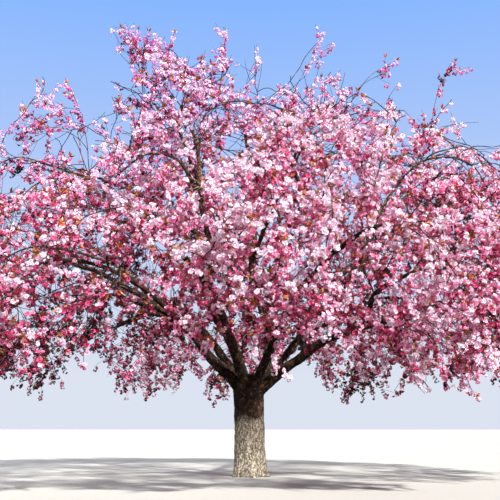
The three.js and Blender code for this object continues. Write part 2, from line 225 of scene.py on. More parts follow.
# Shoots and hanging strings that stand out of the crown, in the same terms
SHOOTS = {
    "left_spray": (0.013, 0.35, [(-2.84, 0.1, 5.15), (-2.97, 0.1, 5.87), (-3.1, 0.1, 6.36),
                                 (-3.29, 0.1, 6.83), (-3.43, 0.1, 7.09)]),
    "left_spray_low": (0.008, 0.25, [(-3.07, 0.1, 6.11), (-3.35, 0.1, 6.22), (-3.81, 0.1, 5.9),
                                     (-4.2, 0.1, 5.58)]),
    "left_spray_middle": (0.007, 0.25, [(-3.08, 0.1, 6.4), (-3.4, 0.1, 6.5), (-3.85, 0.1, 6.25)]),
    "left_spray_side": (0.007, 0.3, [(-2.94, 0.1, 5.68), (-3.3, 0.0, 5.99), (-3.8, -0.1, 5.9)]),
    "left_spray_high": (0.006, 0.2, [(-3.35, 0.1, 6.3), (-3.68, 0.1, 6.66), (-3.95, 0.1, 7.05)]),
    "left_spray_outer": (0.006, 0.2, [(-3.5, 0.1, 6.1), (-3.95, 0.15, 6.2), (-4.32, 0.15, 5.95)]),
    "twiggy_shoot": (0.008, 0.5, [(1.76, 0.2, 6.5), (1.97, 0.2, 6.8), (2.24, 0.2, 7.18),
                                   (2.75, 0.2, 7.5)]),
    "twiggy_shoot_low": (0.007, 0.35, [(1.85, 0.25, 6.6), (2.05, 0.3, 7.0), (2.51, 0.3, 7.3)]),
    "far_right_shoot": (0.01, 0.1, [(3.3, 0.3, 6.0), (3.43, 0.3, 6.58), (3.57, 0.3, 7.03),
                                    (3.83, 0.3, 7.55)]),
    "right_shoot": (0.01, 0.1, [(0.76, 0.5, 6.63), (0.86, 0.5, 7.06), (1.23, 0.5, 7.77),
                                (1.44, 0.5, 8.3)]),
    "far_right_blob": (0.009, 0.2, [(3.2, 0.3, 6.0), (3.25, 0.3, 6.3), (3.2, 0.3, 6.55)]),
    "middle_right_blob": (0.009, 0.2, [(1.5, 0.3, 6.4), (1.7, 0.3, 6.7), (1.78, 0.3, 7.0)]),
    "right_shoot_low": (0.008, 0.2, [(0.9, 0.4, 6.7), (1.2, 0.4, 7.1), (1.35, 0.3, 7.6)]),
    "centre_shoot": (0.01, 0.15, [(-0.55, 0.15, 6.9), (-0.5, 0.15, 7.48), (-0.45, 0.15, 8.12)]),
    "centre_shoot_right": (0.009, 0.15, [(-0.1, 0.1, 6.9), (0.1, 0.15, 7.2), (0.19, 0.15, 7.55)]),
    "apex_shoot": (0.01, 0.1, [(-2.05, 0.15, 7.28), (-2.2, 0.15, 7.69), (-2.2, 0.15, 8.25)]),
    "apex_shoot_left": (0.01, 0.1, [(-2.05, 0.05, 7.28), (-2.35, 0.1, 7.65), (-2.61, 0.15, 8.12)]),
    "apex_shoot_low": (0.009, 0.1, [(-1.9, 0.1, 7.2), (-2.0, 0.1, 7.6), (-1.9, 0.1, 8.05)]),
    "apex_shoot_side": (0.009, 0.1, [(-1.75, 0.2, 7.1), (-1.8, 0.2, 7.5), (-1.72, 0.2, 7.95)]),
    "apex_shoot_front": (0.009, 0.1, [(-2.1, -0.1, 7.2), (-2.4, -0.1, 7.5), (-2.45, -0.1, 7.85)]),
    "left_top_shoot": (0.01, 0.1, [(-1.15, 0.15, 6.6), (-1.0, 0.15, 7.05), (-0.92, 0.15, 7.5)]),
    "left_top_shoot_low": (0.01, 0.1, [(-0.95, 0.2, 6.5), (-0.75, 0.2, 7.0), (-0.7, 0.2, 7.42)]),
    "apex_shoot_inner": (0.01, 0.1, [(-1.7, 0.1, 7.0), (-1.6, 0.1, 7.4), (-1.55, 0.1, 7.8)]),
    "apex_shoot_right": (0.01, 0.1, [(-1.58, 0.15, 7.18), (-1.54, 0.15, 7.59),
                                     (-1.42, 0.15, 8.12)]),
    "front_string": (0.008, 0.2, [(0.15, -3.5, 2.44), (0.25, -3.5, 2.11), (0.38, -3.5, 1.76),
                                  (0.28, -3.5, 1.61), (0.32, -3.5, 1.49)]),
    "front_string_middle": (0.008, 0.1, [(0.53, -3.5, 2.53), (0.63, -3.5, 2.27),
                                         (0.62, -3.5, 1.96)]),
    "front_string_right": (0.008, 0.1, [(1.11, -3.5, 2.34), (1.27, -3.5, 1.88), (1.2, -3.5, 1.78)]),
    "front_string_low": (0.008, 0.2, [(1.18, -3.5, 2.02), (1.26, -3.5, 1.77), (1.59, -3.5, 1.49)]),
    "front_string_side": (0.007, 0.1, [(0.85, -3.5, 2.11), (0.95, -3.5, 1.76), (1.03, -3.5, 1.65)]),
    "front_string_left": (0.008, 0.2, [(-0.87, -3.5, 2.02), (-0.68, -3.5, 1.59),
                                       (-0.58, -3.5, 1.49)]),
    "front_string_far_left": (0.007, 0.1, [(-1.24, -3.5, 1.96), (-1.07, -3.5, 1.53)]),
    "front_string_far_right": (0.008, 0.1, [(1.8, -3.5, 1.96), (1.97, -3.5, 1.44)]),
    "bare_twig_low": (0.006, 1.0, [(1.9, -2.9, 2.3), (2.02, -3.0, 1.75), (2.09, -3.0, 1.4),
                                   (2.25, -3.0, 1.2)]),
    "bare_twig_low_side": (0.005, 1.0, [(2.1, -2.8, 2.2), (2.3, -2.9, 1.7), (2.28, -2.95, 1.35)]),
}

# The fringe of hanging shoots along the front of the crown
FRINGE_COUNT = 24
FRINGE_ACROSS = (-0.95, 2.5)
FRINGE_FRONT = (-3.9, -3.2)
FRINGE_TOP = 2.72
FRINGE_DROP = (0.5, 0.95)
FRINGE_SWAY = 0.08

# How the wood branches: lengths and radii in metres
JOINT_SPACING = 0.09
SPRAY_STEP = 0.13
LOWEST_JOINT = 2.0
BOUGH_WAVER = 0.022
CROWN_MIDDLE = (0.0, 0.0, 3.4)
BODY_REACH = (4.4, 3.6)
# Where the crown's body grows thinner, to the left and upwards: from where, over what distance
# and by what share; and how near the body's edge that stops
THINNER_LEFT = (1.0, 2.5, 0.36)
THINNER_TOP = (5.6, 1.6, 0.34)
BODY_EDGE = (1.03, 0.06)
# Where wood starts to hang, over what height it comes to hang fully, and how far it rises on top
HANGS_BELOW = (5.2, 2.6)
MOST_RISE = -0.9
THICKEST_PARENT = 0.2
THICKEST_SPRAY_PARENT = 0.045
BRANCHES_PER_MASS = 6.0
BRANCH_BARE = 0.28
BRANCH_TIP_RADIUS = 0.006
SPRAYS_PER_MASS = 26.0
SPRAY_TIP_RADIUS = 0.0032
OUTER_SHARE = 0.72
MASS_CLOUD = 1100
SIDE_TWIG_LENGTH = (0.16, 0.46)
SIDE_TWIG_SPACING = 0.22
SIDE_TWIG_RADIUS = 0.006
# Sprays under the crown, and how far from the trunk they grow
INNER_SPRAY_SPACING = 0.24
INNER_SPRAY_LENGTH = (0.35, 0.95)
INNER_SPRAY_REACH = 3.3
HANGING_RADIUS = 0.007
# Bare twigs: fewer right of the line and above it, none high on the left, none far out
BARE_TWIG_SPACING = 0.12
BARE_TWIG_LENGTH = (0.25, 0.7)
BARE_TWIG_RADIUS = 0.0065
BARE_TWIG_REACH = 4.2
TWIGGY_LEFT = -1.6
TWIGGY_TOP = 3.2
TWIGGY_LEFT_TOP = 5.1
# Filling sprays: how empty a place has to be and how many are filled, in the whole crown and then
# seen from above, also between masses that lie near each other
EMPTY_REACH = 0.24
FILLING_SPRAYS = 40
EMPTY_FROM_ABOVE = 0.17
TOP_FILLING_SPRAYS = 110
TOP_FILLING_HEIGHTS = (3.7, 5.6)
BETWEEN_MASSES = 1.5
BETWEEN_PAIRS = 60000
# Masses that are thinner or fuller of blossom than the rest
MASS_FULLNESS = {
    "blossom_spray_left": 0.9,
    "blossom_spray_left_tip": 0.8,
    "blossom_high_left": 0.6,
    "blossom_shoot_apex": 2.6,
    "blossom_top_left": 0.75,
    "blossom_top_centre": 0.7,
    "blossom_shoot_centre": 1.5,
    "blossom_shoot_right": 0.2,
    "blossom_shoot_twiggy": 0.2,
    "blossom_shoot_far_right": 0.3,
    "blossom_top_right": 0.6,
    "blossom_top_far_right": 0.6,
    "blossom_top_front_right": 0.7,
    "blossom_top_front_left": 0.85,
    "blossom_shoulder_1": 1.15,
    "blossom_shoulder_2": 1.3,
    "blossom_shoulder_3": 1.2,
    "blossom_shoulder_5": 0.75,
    "blossom_shoulder_7": 1.3,
    "blossom_shoulder_8": 1.15,
    "blossom_skirt_3": 1.2,
    "blossom_skirt_4": 1.4,
    "blossom_skirt_5": 1.2,
    "blossom_skirt_9": 1.2,
    "blossom_skirt_10": 1.6,
    "blossom_skirt_11": 1.3,
}

# The part of the wood that is one skin with the trunk
FORK_REACH = 1.3
FORK_OVERLAP = 0.3
FORK_TUCK = 0.12
FORK_VOXEL = 0.014

# Bark: relief in metres, and the measures and colours of its pattern
TRUNK_RELIEF = {"Fissure Depth": 0.009, "Fissure Scale": 22.0, "Stretch": 0.3,
                "Swell Depth": 0.035, "Swell Scale": 3.4}
BOUGH_RELIEF = {"Fissure Depth": 0.006, "Fissure Scale": 24.0, "Stretch": 0.6,
                "Swell Depth": 0.022, "Swell Scale": 5.0}
TRUNK_BARK = {"Stretch": 0.4, "Fissure Scale": 27.0, "Mottle Scale": 34.0, "Pale From": 0.41,
              "Dark": (0.07, 0.055, 0.04), "Middle": (0.24, 0.2, 0.14), "Pale": (0.66, 0.6, 0.5)}
# The trunk turns from its pale foot to dark bark between these heights: partly the bark's own
# colour, partly painted shadow of the crown
TRUNK_SHADOW_AND_DARK_BARK = (0.8, 1.0)
# Bough bark, nearly black: partly the bark's own dark brown, partly painted shade of the crown; the
# trunk under the fork takes the same colours
BOUGH_BARK_AND_SHADE = {"Stretch": 0.6, "Fissure Scale": 24.0, "Mottle Scale": 13.0, "Pale From": 0.48,
              "Dark": (0.004, 0.002, 0.0015), "Middle": (0.016, 0.008, 0.005),
              "Pale": (0.22, 0.11, 0.06)}
BOUGH_PALER = (3.2, 5.2)
TWIG_BARK = {"Stretch": 1.0, "Fissure Scale": 5.0, "Mottle Scale": 2.4, "Pale From": 0.47,
             "Dark": (0.018, 0.01, 0.009), "Middle": (0.035, 0.019, 0.016),
             "Pale": (0.44, 0.28, 0.2)}
BARK_BUMP = {"trunk": 0.01, "bough": 0.006, "twig": 0.001}

# Blossom: distances in metres
CLUSTER_SPACING = 0.068
BRANCH_CLUSTERS_WIDER = 1.6
CLUSTER_HANG = (0.035, 0.09)
CLUSTER_SCATTER = 0.012
CLUSTER_RADIUS = 0.036
FLOWERS_PER_CLUSTER = (3, 6)
FLOWER_RADIUS = 0.029
FLOWER_SPREAD = 0.2
GAP_WIDTH = 0.55
GAP_WAVES = 14
SHOWING_WIDTH = 0.032
ARCH_SHOWING_WIDTH = 0.046
LEAF_LENGTH = 0.082
LEAF_SPREAD = 0.3
LEAVES_PER_TUFT = 5
TUFT_SHARE = 0.1
LEAF_SEED = 90

# Painted light and shade in the blossom's colour: how pale or deep each flower is, by its side of
# the crown, by how it faces the light, by what covers it and by chance
BRIGHT_SIDE = (-0.2, -0.9, 0.2)
BRIGHT_SIDE_WEIGHT = 0.75
BRIGHT_SIDE_REACH = 4.5
# The shaded side: how much darker it is, and where it starts to the left and downwards, and over
# what distance
SHADED_SIDE = 0.55
SHADED_LEFT = (0.5, 3.5)
SHADED_LOW = (6.2, 2.4)
SPRAY_CHANCE = 0.32
FLOWER_CHANCE = 0.14
FACING_WEIGHT = 0.5
COVER_WEIGHT = 1.2
COVER_CELL = 0.16
COVER_REACH = 6
# Behind this the painted light on the blossom follows the back light instead of the key, and the
# painted shade fades out evenly between these two
BACK_HALF = 2.2
BACK_EVEN = (2.6, 4.0)
# Hollows in shade and swells in light: x, z and reach across and up on the plane of the trunk,
# seen from the front, and how much darker the blossom is there
SHADED_PLACES = [
    (-2.5, 3.0, 1.5, 0.8, 0.75), (2.05, 3.3, 0.75, 0.5, 1.0), (-4.2, 4.9, 0.8, 0.9, 0.6),
    (-3.2, 5.4, 0.8, 0.7, 0.3), (-2.4, 6.2, 0.7, 0.6, 0.2), (2.1, 6.5, 0.7, 0.5, 0.25),
    (4.2, 3.7, 0.6, 1.6, 0.45), (3.9, 2.1, 0.6, 0.5, 0.1), (0.3, 2.5, 1.2, 0.5, 0.4),
    (0.55, 5.05, 0.45, 0.4, 1.0), (0.6, 3.85, 0.5, 0.4, 0.6), (-0.05, 2.95, 0.4, 0.6, 0.7),
    (-3.0, 2.2, 1.2, 0.5, 0.7), (-1.85, 4.15, 0.5, 0.6, 0.5), (-1.0, 5.05, 0.5, 0.4, 0.7),
    (-1.9, 6.9, 0.45, 0.5, 0.7), (-2.4, 6.35, 0.45, 0.45, 0.7), (3.5, 4.9, 0.5, 0.5, 0.6),
    (3.0, 3.2, 0.5, 0.7, -0.5), (1.15, 3.6, 0.45, 0.5, -0.2), (-0.65, 3.85, 0.4, 0.4, -1.1),
    (-0.65, 6.2, 0.45, 0.5, -0.8), (1.7, 3.85, 0.4, 0.35, -0.8), (3.4, 2.4, 0.35, 0.4, -0.5),
]
# Lit and shaded copies of the petal colour, as painted light and shade: each shade's colour at the
# petal's rim, and its share of all flowers from the shaded inside to the sunlit outside
SHADES = {
    "deep_rose": ((0.08, 0.005, 0.014), 0.2),
    "rose": ((0.47, 0.02, 0.11), 0.16),
    "warm_pink": ((0.8, 0.11, 0.31), 0.16),
    "pink": ((0.92, 0.3, 0.54), 0.15),
    "light_pink": ((0.96, 0.57, 0.76), 0.16),
    "blush": ((0.97, 0.79, 0.91), 0.17),
}

# Painted sky light and shade: the pink is tinted bluer up the crown and to its left, between these
# heights
PAINTED_SKYLIGHT_HEIGHTS = (4.4, 7.4)
PAINTED_SKYLIGHT_TINT = (0.95, 1.0, 1.3)

# Where the crown is open: x, z and radius on the plane of the trunk, as seen from the front
SKY_OPENINGS = [
    (-2.85, 6.75, 0.36), (-2.9, 5.9, 0.14), (-2.98, 6.3, 0.12), (-3.06, 5.64, 0.16),
    (-1.16, 7.66, 0.15), (0.56, 7.37, 0.3), (0.85, 7.05, 0.19), (2.2, 6.95, 0.25),
    (1.83, 6.61, 0.08), (2.96, 6.53, 0.26), (3.54, 6.22, 0.1), (-0.2, 5.85, 0.15),
    (-0.68, 2.38, 0.11), (-0.49, 2.11, 0.11), (0.14, 2.74, 0.11), (4.0, 5.92, 0.24),
    (-3.25, 5.88, 0.2), (-2.38, 7.35, 0.2), (0.95, 7.45, 0.14), (3.87, 6.45, 0.13),
    (4.34, 5.87, 0.16), (-2.07, 6.77, 0.13), (-3.43, 5.83, 0.14), (-3.85, 5.64, 0.14),
    (-0.18, 7.01, 0.13), (0.37, 6.91, 0.15), (-0.52, 7.05, 0.12), (-2.53, 7.77, 0.14),
    (4.25, 5.64, 0.12), (-3.97, 2.7, 0.14), (-4.29, 4.3, 0.1), (1.44, 5.64, 0.15),
    (3.63, 6.1, 0.08), (-2.25, 6.1, 0.1), (-2.87, 5.41, 0.1), (-4.34, 5.0, 0.12),
    (-0.22, 7.62, 0.1), (-3.35, 6.34, 0.08), (-3.76, 5.87, 0.1), (-3.6, 6.15, 0.09),
    (-2.5, 6.0, 0.07), (-2.28, 7.05, 0.11), (-2.5, 7.05, 0.13), (-2.27, 6.81, 0.09),
    (1.92, 6.57, 0.09), (3.43, 6.6, 0.1), (1.25, 6.81, 0.07), (-3.8, 7.25, 0.16),
    (-3.75, 6.81, 0.08), (-4.2, 5.64, 0.1), (-2.42, 8.5, 0.3), (1.22, 7.15, 0.11),
    (-1.86, 7.25, 0.08), (-3.0, 7.3, 0.25), (-0.07, 7.05, 0.09), (-2.67, 5.87, 0.08),
    (-0.35, 5.62, 0.13), (-2.45, 6.25, 0.13), (-2.22, 5.9, 0.12), (1.5, 7.32, 0.14),
    (3.74, 6.85, 0.13), (-3.4, 7.42, 0.18), (2.35, 6.62, 0.15), (2.57, 6.75, 0.12),
    (0.15, 7.1, 0.13), (-2.07, 7.29, 0.1), (1.47, 6.83, 0.11), (-3.93, 4.96, 0.1),
    (2.78, 6.1, 0.12), (-0.07, 7.29, 0.12), (-4.36, 5.19, 0.09), (-3.54, 5.8, 0.08),
]

# Where the crown is full of blossom, in the same terms
FULL_PLACES = [
    (-1.73, 3.44, 0.3), (-2.17, 4.08, 0.3), (-2.97, 3.1, 0.35), (-4.0, 4.74, 0.32),
    (-3.66, 4.96, 0.12), (-0.5, 6.1, 0.14), (-4.3, 4.74, 0.15), (1.8, 3.23, 0.3),
    (-1.95, 3.65, 0.2), (0.55, 3.23, 0.25), (3.44, 3.02, 0.25), (1.24, 6.55, 0.12),
]

UP = np.array([0.0, 0.0, 1.0])
FLOWERING = ("branch", "spray", "side_twig")
random = np.random.default_rng(SEED)


# Small vector helpers
def unit(vectors):
    vectors = np.asarray(vectors, dtype=float)
    length = np.linalg.norm(vectors, axis=-1, keepdims=True)
    return vectors / np.maximum(length, 1e-9)


def random_directions(count):
    return unit(random.normal(size=(count, 3)))


def distances_along(points):
    return np.r_[0, np.cumsum(np.linalg.norm(np.diff(points, axis=0), axis=1))]


def smooth_step(value):
    value = np.clip(value, 0, 1)
    return value * value * (3 - 2 * value)


def even_steps(points, spacing):
    """The same way with points an even distance apart."""
    lengths = distances_along(points)
    count = max(3, int(round(lengths[-1] / spacing)) + 1)
    wanted = np.linspace(0, lengths[-1], count)
    return np.column_stack([np.interp(wanted, lengths, points[:, k]) for k in range(3)])


def smooth_way(points, spacing):
    """A centripetal curve through the points, in even steps."""
    points = np.asarray(points, dtype=float)
    before = 2 * points[0] - points[1]
    after = 2 * points[-1] - points[-2]
    through = np.vstack([before, points, after])
    pieces = []
    for i in range(len(points) - 1):
        p0, p1, p2, p3 = through[i:i + 4]
        d0, d1, d2 = (math.sqrt(np.linalg.norm(b - a)) for a, b in ((p0, p1), (p1, p2), (p2, p3)))
        leave = ((p1 - p0) / d0 - (p2 - p0) / (d0 + d1) + (p2 - p1) / d1) * d1
        arrive = ((p2 - p1) / d1 - (p3 - p1) / (d1 + d2) + (p3 - p2) / d2) * d1
        t = np.linspace(0, 1, 30)[:, None]
        pieces.append(
            (2 * t**3 - 3 * t**2 + 1) * p1 + (t**3 - 2 * t**2 + t) * leave
            + (3 * t**2 - 2 * t**3) * p2 + (t**3 - t**2) * arrive
        )
    return even_steps(np.vstack(pieces), spacing)


def wavering(way, reach):
    """The way made a little crooked between its two ends."""
    share = np.linspace(0, 1, len(way))[:, None]
    swing = np.sin(share * math.pi) ** 0.5
    for wave in (0.9, 0.45):
        turns = distances_along(way)[-1] / wave
        phase = random.uniform(0, 2 * math.pi)
        side = random_directions(1)[0]
        way = way + side * reach * wave * swing * np.sin(share * turns * 2 * math.pi + phase)
    return way


def bent_way(start, start_heading, tip, end_heading, spacing, waver):
    """A way from start to tip that leaves and ends along the two headings, a little crooked."""
    start = np.asarray(start, dtype=float)
    tip = np.asarray(tip, dtype=float)
    reach = np.linalg.norm(tip - start)
    a = start + start_heading * reach * 0.38
    b = tip - end_heading * reach * 0.34
    t = np.linspace(0, 1, 24)[:, None]
    way = (1 - t)**3 * start + 3 * (1 - t)**2 * t * a + 3 * (1 - t) * t**2 * b + t**3 * tip
    for turns in (1.5, 3.2):
        side = random_directions(1)[0]
        phase = random.uniform(0, 2 * math.pi)
        swing = np.sin(t * turns * 2 * math.pi + phase) * np.sin(t * math.pi)
        way = way + side * swing * waver * reach / turns
    return even_steps(way, spacing)


class Wood:
    """All ways that wood grows along, and the joints that later wood may leave from."""

    def __init__(self):
        self.ways = {"bough": [], "limb": [], "branch": [], "spray": [], "side_twig": []}
        self.showing = []
        self.places = np.zeros((0, 3))
        self.headings = np.zeros((0, 3))
        self.radii = np.zeros(0)

    def add(self, kind, points, radii, bare=1.0, jointed=True):
        """Keeps a way with its radii and the share of its length below the blossom."""
        self.ways[kind].append((points, radii, bare))
        if not jointed:
            return
        self.places = np.vstack([self.places, points[1:]])
        self.headings = np.vstack([self.headings, unit(np.diff(points, axis=0))])
        self.radii = np.r_[self.radii, radii[1:]]

    def taper(self, kind, way, first, bare=1.0, jointed=False):
        """Keeps a way that thins out evenly from its first radius, and gives its radii."""
        radii = np.linspace(first, SPRAY_TIP_RADIUS, len(way))
        self.add(kind, way, radii, bare, jointed)
        return radii

    def best_joint(self, target, thickest, nearest):
        """The joint that wood reaches the target from with the shortest, straightest way."""
        towards = target - self.places
        distance = np.linalg.norm(towards, axis=1)
        straight = np.einsum("ij,ij->i", towards, self.headings) / np.maximum(distance, 1e-6)
        cost = distance * (1.55 - 0.55 * straight)
        # What doesn't suit costs as much as some metres more of wood
        cost[self.radii > thickest] += 3.0
        cost[distance < nearest] += 3.0
        cost[self.places[:, 2] < LOWEST_JOINT] += 4.0
        return int(np.argmin(cost))


def grow_boughs(wood):
    """The boughs and limbs of the frame, with a collar where each one leaves its parent."""
    curves = {}
    for name, (start, points, radii) in BOUGHS.items():
        curves[name] = ("bough", smooth_way([start, *points], JOINT_SPACING), radii)
    for name, ((parent, share), points, radii) in LIMBS.items():
        way = curves[parent][1]
        joint = way[int(round(share * (len(way) - 1)))]
        curves[name] = ("limb", smooth_way([joint, *points], JOINT_SPACING), radii)
    for name, (kind, way, (first, last)) in curves.items():
        share = np.linspace(0, 1, len(way))
        collar = 1 + 0.3 * np.exp(-distances_along(way) / 0.12)
        way = wavering(way, BOUGH_WAVER)
        wood.add(kind, way, (first + (last - first) * share) * collar)
        if name in SHOWING_LIMBS:
            low, high = (int(part * len(way)) for part in SHOWING_LIMBS[name])
            wood.showing.append((way[low:high], (first + last) / 2 + SHOWING_WIDTH))


def mass_clouds():
    """Points inside each mass of blossom of the frame, and its volume."""
    clouds = []
    for name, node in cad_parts.items():
        if not name.startswith("blossom_"):
            continue
        mesh = bmesh.new()
        mesh.from_mesh(node.data)
        volume = mesh.calc_volume()
        tree = BVHTree.FromBMesh(mesh)
        mesh.free()
        low, high = (np.array(corner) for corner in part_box(name))
        inside = []
        while len(inside) < MASS_CLOUD:
            for point in random.uniform(low, high, (MASS_CLOUD, 3)):
                near, normal, _, _ = tree.find_nearest(Vector(point))
                if (Vector(point) - near).dot(normal) < 0:
                    inside.append(point)
        clouds.append((np.array(inside[:MASS_CLOUD]), volume, MASS_FULLNESS.get(name, 1.0)))
    return clouds


def outer_part(cloud):
    """The part of a mass that faces out of the crown, where the blossom is."""
    middle = cloud.mean(axis=0)
    depth = (cloud - middle) @ unit(middle - np.array(CROWN_MIDDLE))
    depth = depth / np.abs(depth).max() + random.uniform(-0.6, 0.6, len(cloud))
    return cloud[depth > np.quantile(depth, 1 - OUTER_SHARE)]


def spread_out(cloud, count):
    """Some points of the cloud, each as far from the others as it can be."""
    chosen = [int(random.integers(len(cloud)))]
    distance = np.linalg.norm(cloud - cloud[chosen[0]], axis=1)
    while len(chosen) < min(count, len(cloud)):
        following = int(np.argmax(distance))
        chosen.append(following)
        distance = np.minimum(distance, np.linalg.norm(cloud - cloud[following], axis=1))
    return cloud[chosen]


def outwards(points):
    """Directions from the tree's middle line outwards."""
    return unit(points * np.array([1, 1, 0]))


def fullness(points):
    """The share of full blossom at each place: thinner to the left and at the top of the crown's
    body, and full again on the sprays and shoots that stand out of it."""
    from_left, left_reach, less_left = THINNER_LEFT
    from_top, top_reach, less_high = THINNER_TOP
    edge, edge_reach = BODY_EDGE
    left = np.clip((-points[:, 0] - from_left) / left_reach, 0, 1)
    high = np.clip((points[:, 2] - from_top) / top_reach, 0, 1)
    out = np.hypot(points[:, 0] / BODY_REACH[0], (points[:, 2] - CROWN_MIDDLE[2]) / BODY_REACH[1])
    inside = np.clip((edge - out) / edge_reach, 0, 1)
    return 1.0 - (less_left * left + less_high * high) * inside


def seen_from_front(points):
    """The places moved along the view from the front onto the plane of the trunk."""
    eye = np.array(CAMERA_PLACE)
    share = -eye[1] / (points[:, 1] - eye[1])
    return eye + (points - eye) * share[:, None]


def before_branch(wood, points):
    """Which places would hide one of the branches that show in front of the blossom."""
    seen = seen_from_front(points)
    hiding = np.zeros(len(points), dtype=bool)
    for way, width in wood.showing:
        steps = even_steps(way, 0.06)
        for place, step in zip(seen_from_front(steps), steps):
            near = np.hypot(seen[:, 0] - place[0], seen[:, 2] - place[2]) < width
            hiding |= near & (points[:, 1] < step[1] - 0.04)
    return hiding


def within(points, rounds):
    """Which places lie in one of the rounds, seen from the front."""
    seen = seen_from_front(points)
    inside = np.zeros(len(points), dtype=bool)
    for x, z, radius in rounds:
        inside |= np.hypot(seen[:, 0] - x, seen[:, 2] - z) < radius
    return inside


def in_opening(points):
    return within(points, SKY_OPENINGS)


def between_gaps(points):
    """Which places keep their blossom, so that the gaps between gather into openings."""
    waves = random_directions(GAP_WAVES) * 2 * math.pi / GAP_WIDTH
    waves *= random.uniform(0.5, 1.5, (GAP_WAVES, 1))
    swell = np.sin(points @ waves.T + random.uniform(0, 2 * math.pi, GAP_WAVES)).sum(axis=1)
    level = np.argsort(np.argsort(swell)) / len(points)
    return level < fullness(points)


def droop(point):
    """How far wood hangs at a place: fully in the skirt, and less than not at all at the top."""
    below, reach = HANGS_BELOW
    return float(np.clip((below - point[2]) / reach, MOST_RISE, 1))


def tip_heading(point):
    """The way a spray points at its tip: up at the top of the crown, down in the skirt."""
    hang = droop(point)
    out = outwards(point) * (1.0 - 0.3 * abs(hang))
    return unit(out - 1.1 * hang * UP + random.normal(size=3) * 0.28)


def sideways(along, lean):
    """A heading to some side of the wood that it leaves, leaning along it."""
    return unit(unit(np.cross(along, random_directions(1)[0])) + along * lean)


def way_to(wood, joint, tip, step, follow, lift, waver):
    """A way from a joint to a tip, which at first follows the wood that it leaves."""
    start = wood.places[joint]
    heading = unit(wood.headings[joint] * follow + unit(tip - start) + lift * UP)
    return bent_way(start, heading, tip, tip_heading(tip), step, waver)


def grow_branches(wood, clouds):
    """Branches that grow on from the boughs into every mass."""
    targets = []
    for cloud, volume, full in clouds:
        count = max(1, int(round(BRANCHES_PER_MASS * volume**0.65 * full**0.5)))
        targets.extend(spread_out(cloud, count + 2)[:count])
    targets = np.array(targets)
    nearest = np.array([np.min(np.linalg.norm(wood.places - t, axis=1)) for t in targets])
    for target in targets[np.argsort(nearest)]:
        joint = wood.best_joint(target, THICKEST_PARENT, nearest=0.25)
        way = way_to(wood, joint, target, JOINT_SPACING, follow=0.7, lift=0.35, waver=0.05)
        reach = np.linalg.norm(target - wood.places[joint])
        first = max(min(0.62 * wood.radii[joint], 0.01 + 0.009 * reach), BRANCH_TIP_RADIUS * 1.3)
        radii = first + (BRANCH_TIP_RADIUS - first) * np.linspace(0, 1, len(way))**0.8
        wood.add("branch", way, radii, BRANCH_BARE)


def grow_side_twigs(wood, way, radii, from_share):
    """Short twigs to both sides of a spray."""
    count = int(distances_along(way)[-1] * (1 - from_share) / SIDE_TWIG_SPACING)
    for k in range(count):
        share = from_share + (1 - from_share) * (k + random.uniform(0.1, 0.9)) / count
        at = int(round(share * (len(way) - 2)))
        start = way[at]
        heading = sideways(unit(way[at + 1] - start), lean=0.75)
        reach = random.uniform(*SIDE_TWIG_LENGTH)
        tip = start + heading * reach - 0.12 * droop(start) * reach * UP
        if in_opening(np.array([tip, (start + tip) / 2])).any():
            continue
        end = unit(heading - 0.5 * droop(tip) * UP)
        twig = bent_way(start, heading, tip, end, SPRAY_STEP, waver=0.05)
        wood.taper("side_twig", twig, min(radii[at] * 0.8, SIDE_TWIG_RADIUS), bare=0.1)


def add_spray(wood, way, first, bare, twigs_from):
    """Keeps a flowering spray, bare up to a share of its length, and grows its side twigs."""
    radii = wood.taper("spray", way, first, bare)
    grow_side_twigs(wood, way, radii, twigs_from)


def grow_by_name(wood, named, showing):
    """The branches and shoots of a list, from the nearest wood; showing ones stay uncovered."""
    for first, bare, points in named.values():
        joint = wood.best_joint(np.array(points[0]), THICKEST_PARENT, nearest=0.1)
        way = smooth_way([wood.places[joint], *points], JOINT_SPACING)
        first = min(first, 0.9 * wood.radii[joint])
        radii = wood.taper("branch", way, first, bare, jointed=bare < 1.0)
        if showing:
            wood.showing.append((way, first / 2 + ARCH_SHOWING_WIDTH))
        if bare < 1.0:
            grow_side_twigs(wood, way, radii, bare)


def grow_fringe(wood):
    """Hanging shoots side by side along the front of the crown."""
    left, right = FRINGE_ACROSS
    for k in range(FRINGE_COUNT):
        x = left + (right - left) * (k + random.uniform(0, 1)) / FRINGE_COUNT
        top = np.array([x, random.uniform(*FRINGE_FRONT), FRINGE_TOP])
        drop = random.uniform(*FRINGE_DROP)
        sway = random.uniform(-FRINGE_SWAY, FRINGE_SWAY, (2, 2))
        lower = [top + np.array([*aside, -drop * share]) for aside, share in zip(sway, (0.5, 1.0))]
        joint = wood.best_joint(top, THICKEST_PARENT, nearest=0.1)
        way = smooth_way([wood.places[joint], top, *lower], JOINT_SPACING)
        add_spray(wood, way, HANGING_RADIUS, bare=0.35, twigs_from=0.4)


def grow_spray(wood, tip, nearest, foot, longer, bare, twigs_from):
    """A spray to a tip, as thick as its foot at the joint, and thicker for each metre of reach."""
    joint = wood.best_joint(tip, THICKEST_SPRAY_PARENT, nearest)
    way = way_to(wood, joint, tip, SPRAY_STEP, follow=0.6, lift=0.3, waver=0.06)
    reach = np.linalg.norm(tip - wood.places[joint])
    add_spray(wood, way, min(0.8 * wood.radii[joint], foot + longer * reach), bare, twigs_from)


def grow_sprays(wood, clouds):
    """The flowering sprays: from the branches out to tips spread through every mass."""
    tips = []
    for cloud, volume, full in clouds:
        count = max(1, int(round(SPRAYS_PER_MASS * volume**0.75 * full)))
        tips.extend(spread_out(outer_part(cloud), count))
    tips = np.array(tips)
    for tip in tips[~in_opening(tips)]:
        grow_spray(wood, tip, nearest=0.35, foot=0.006, longer=0.005, bare=0.2, twigs_from=0.15)


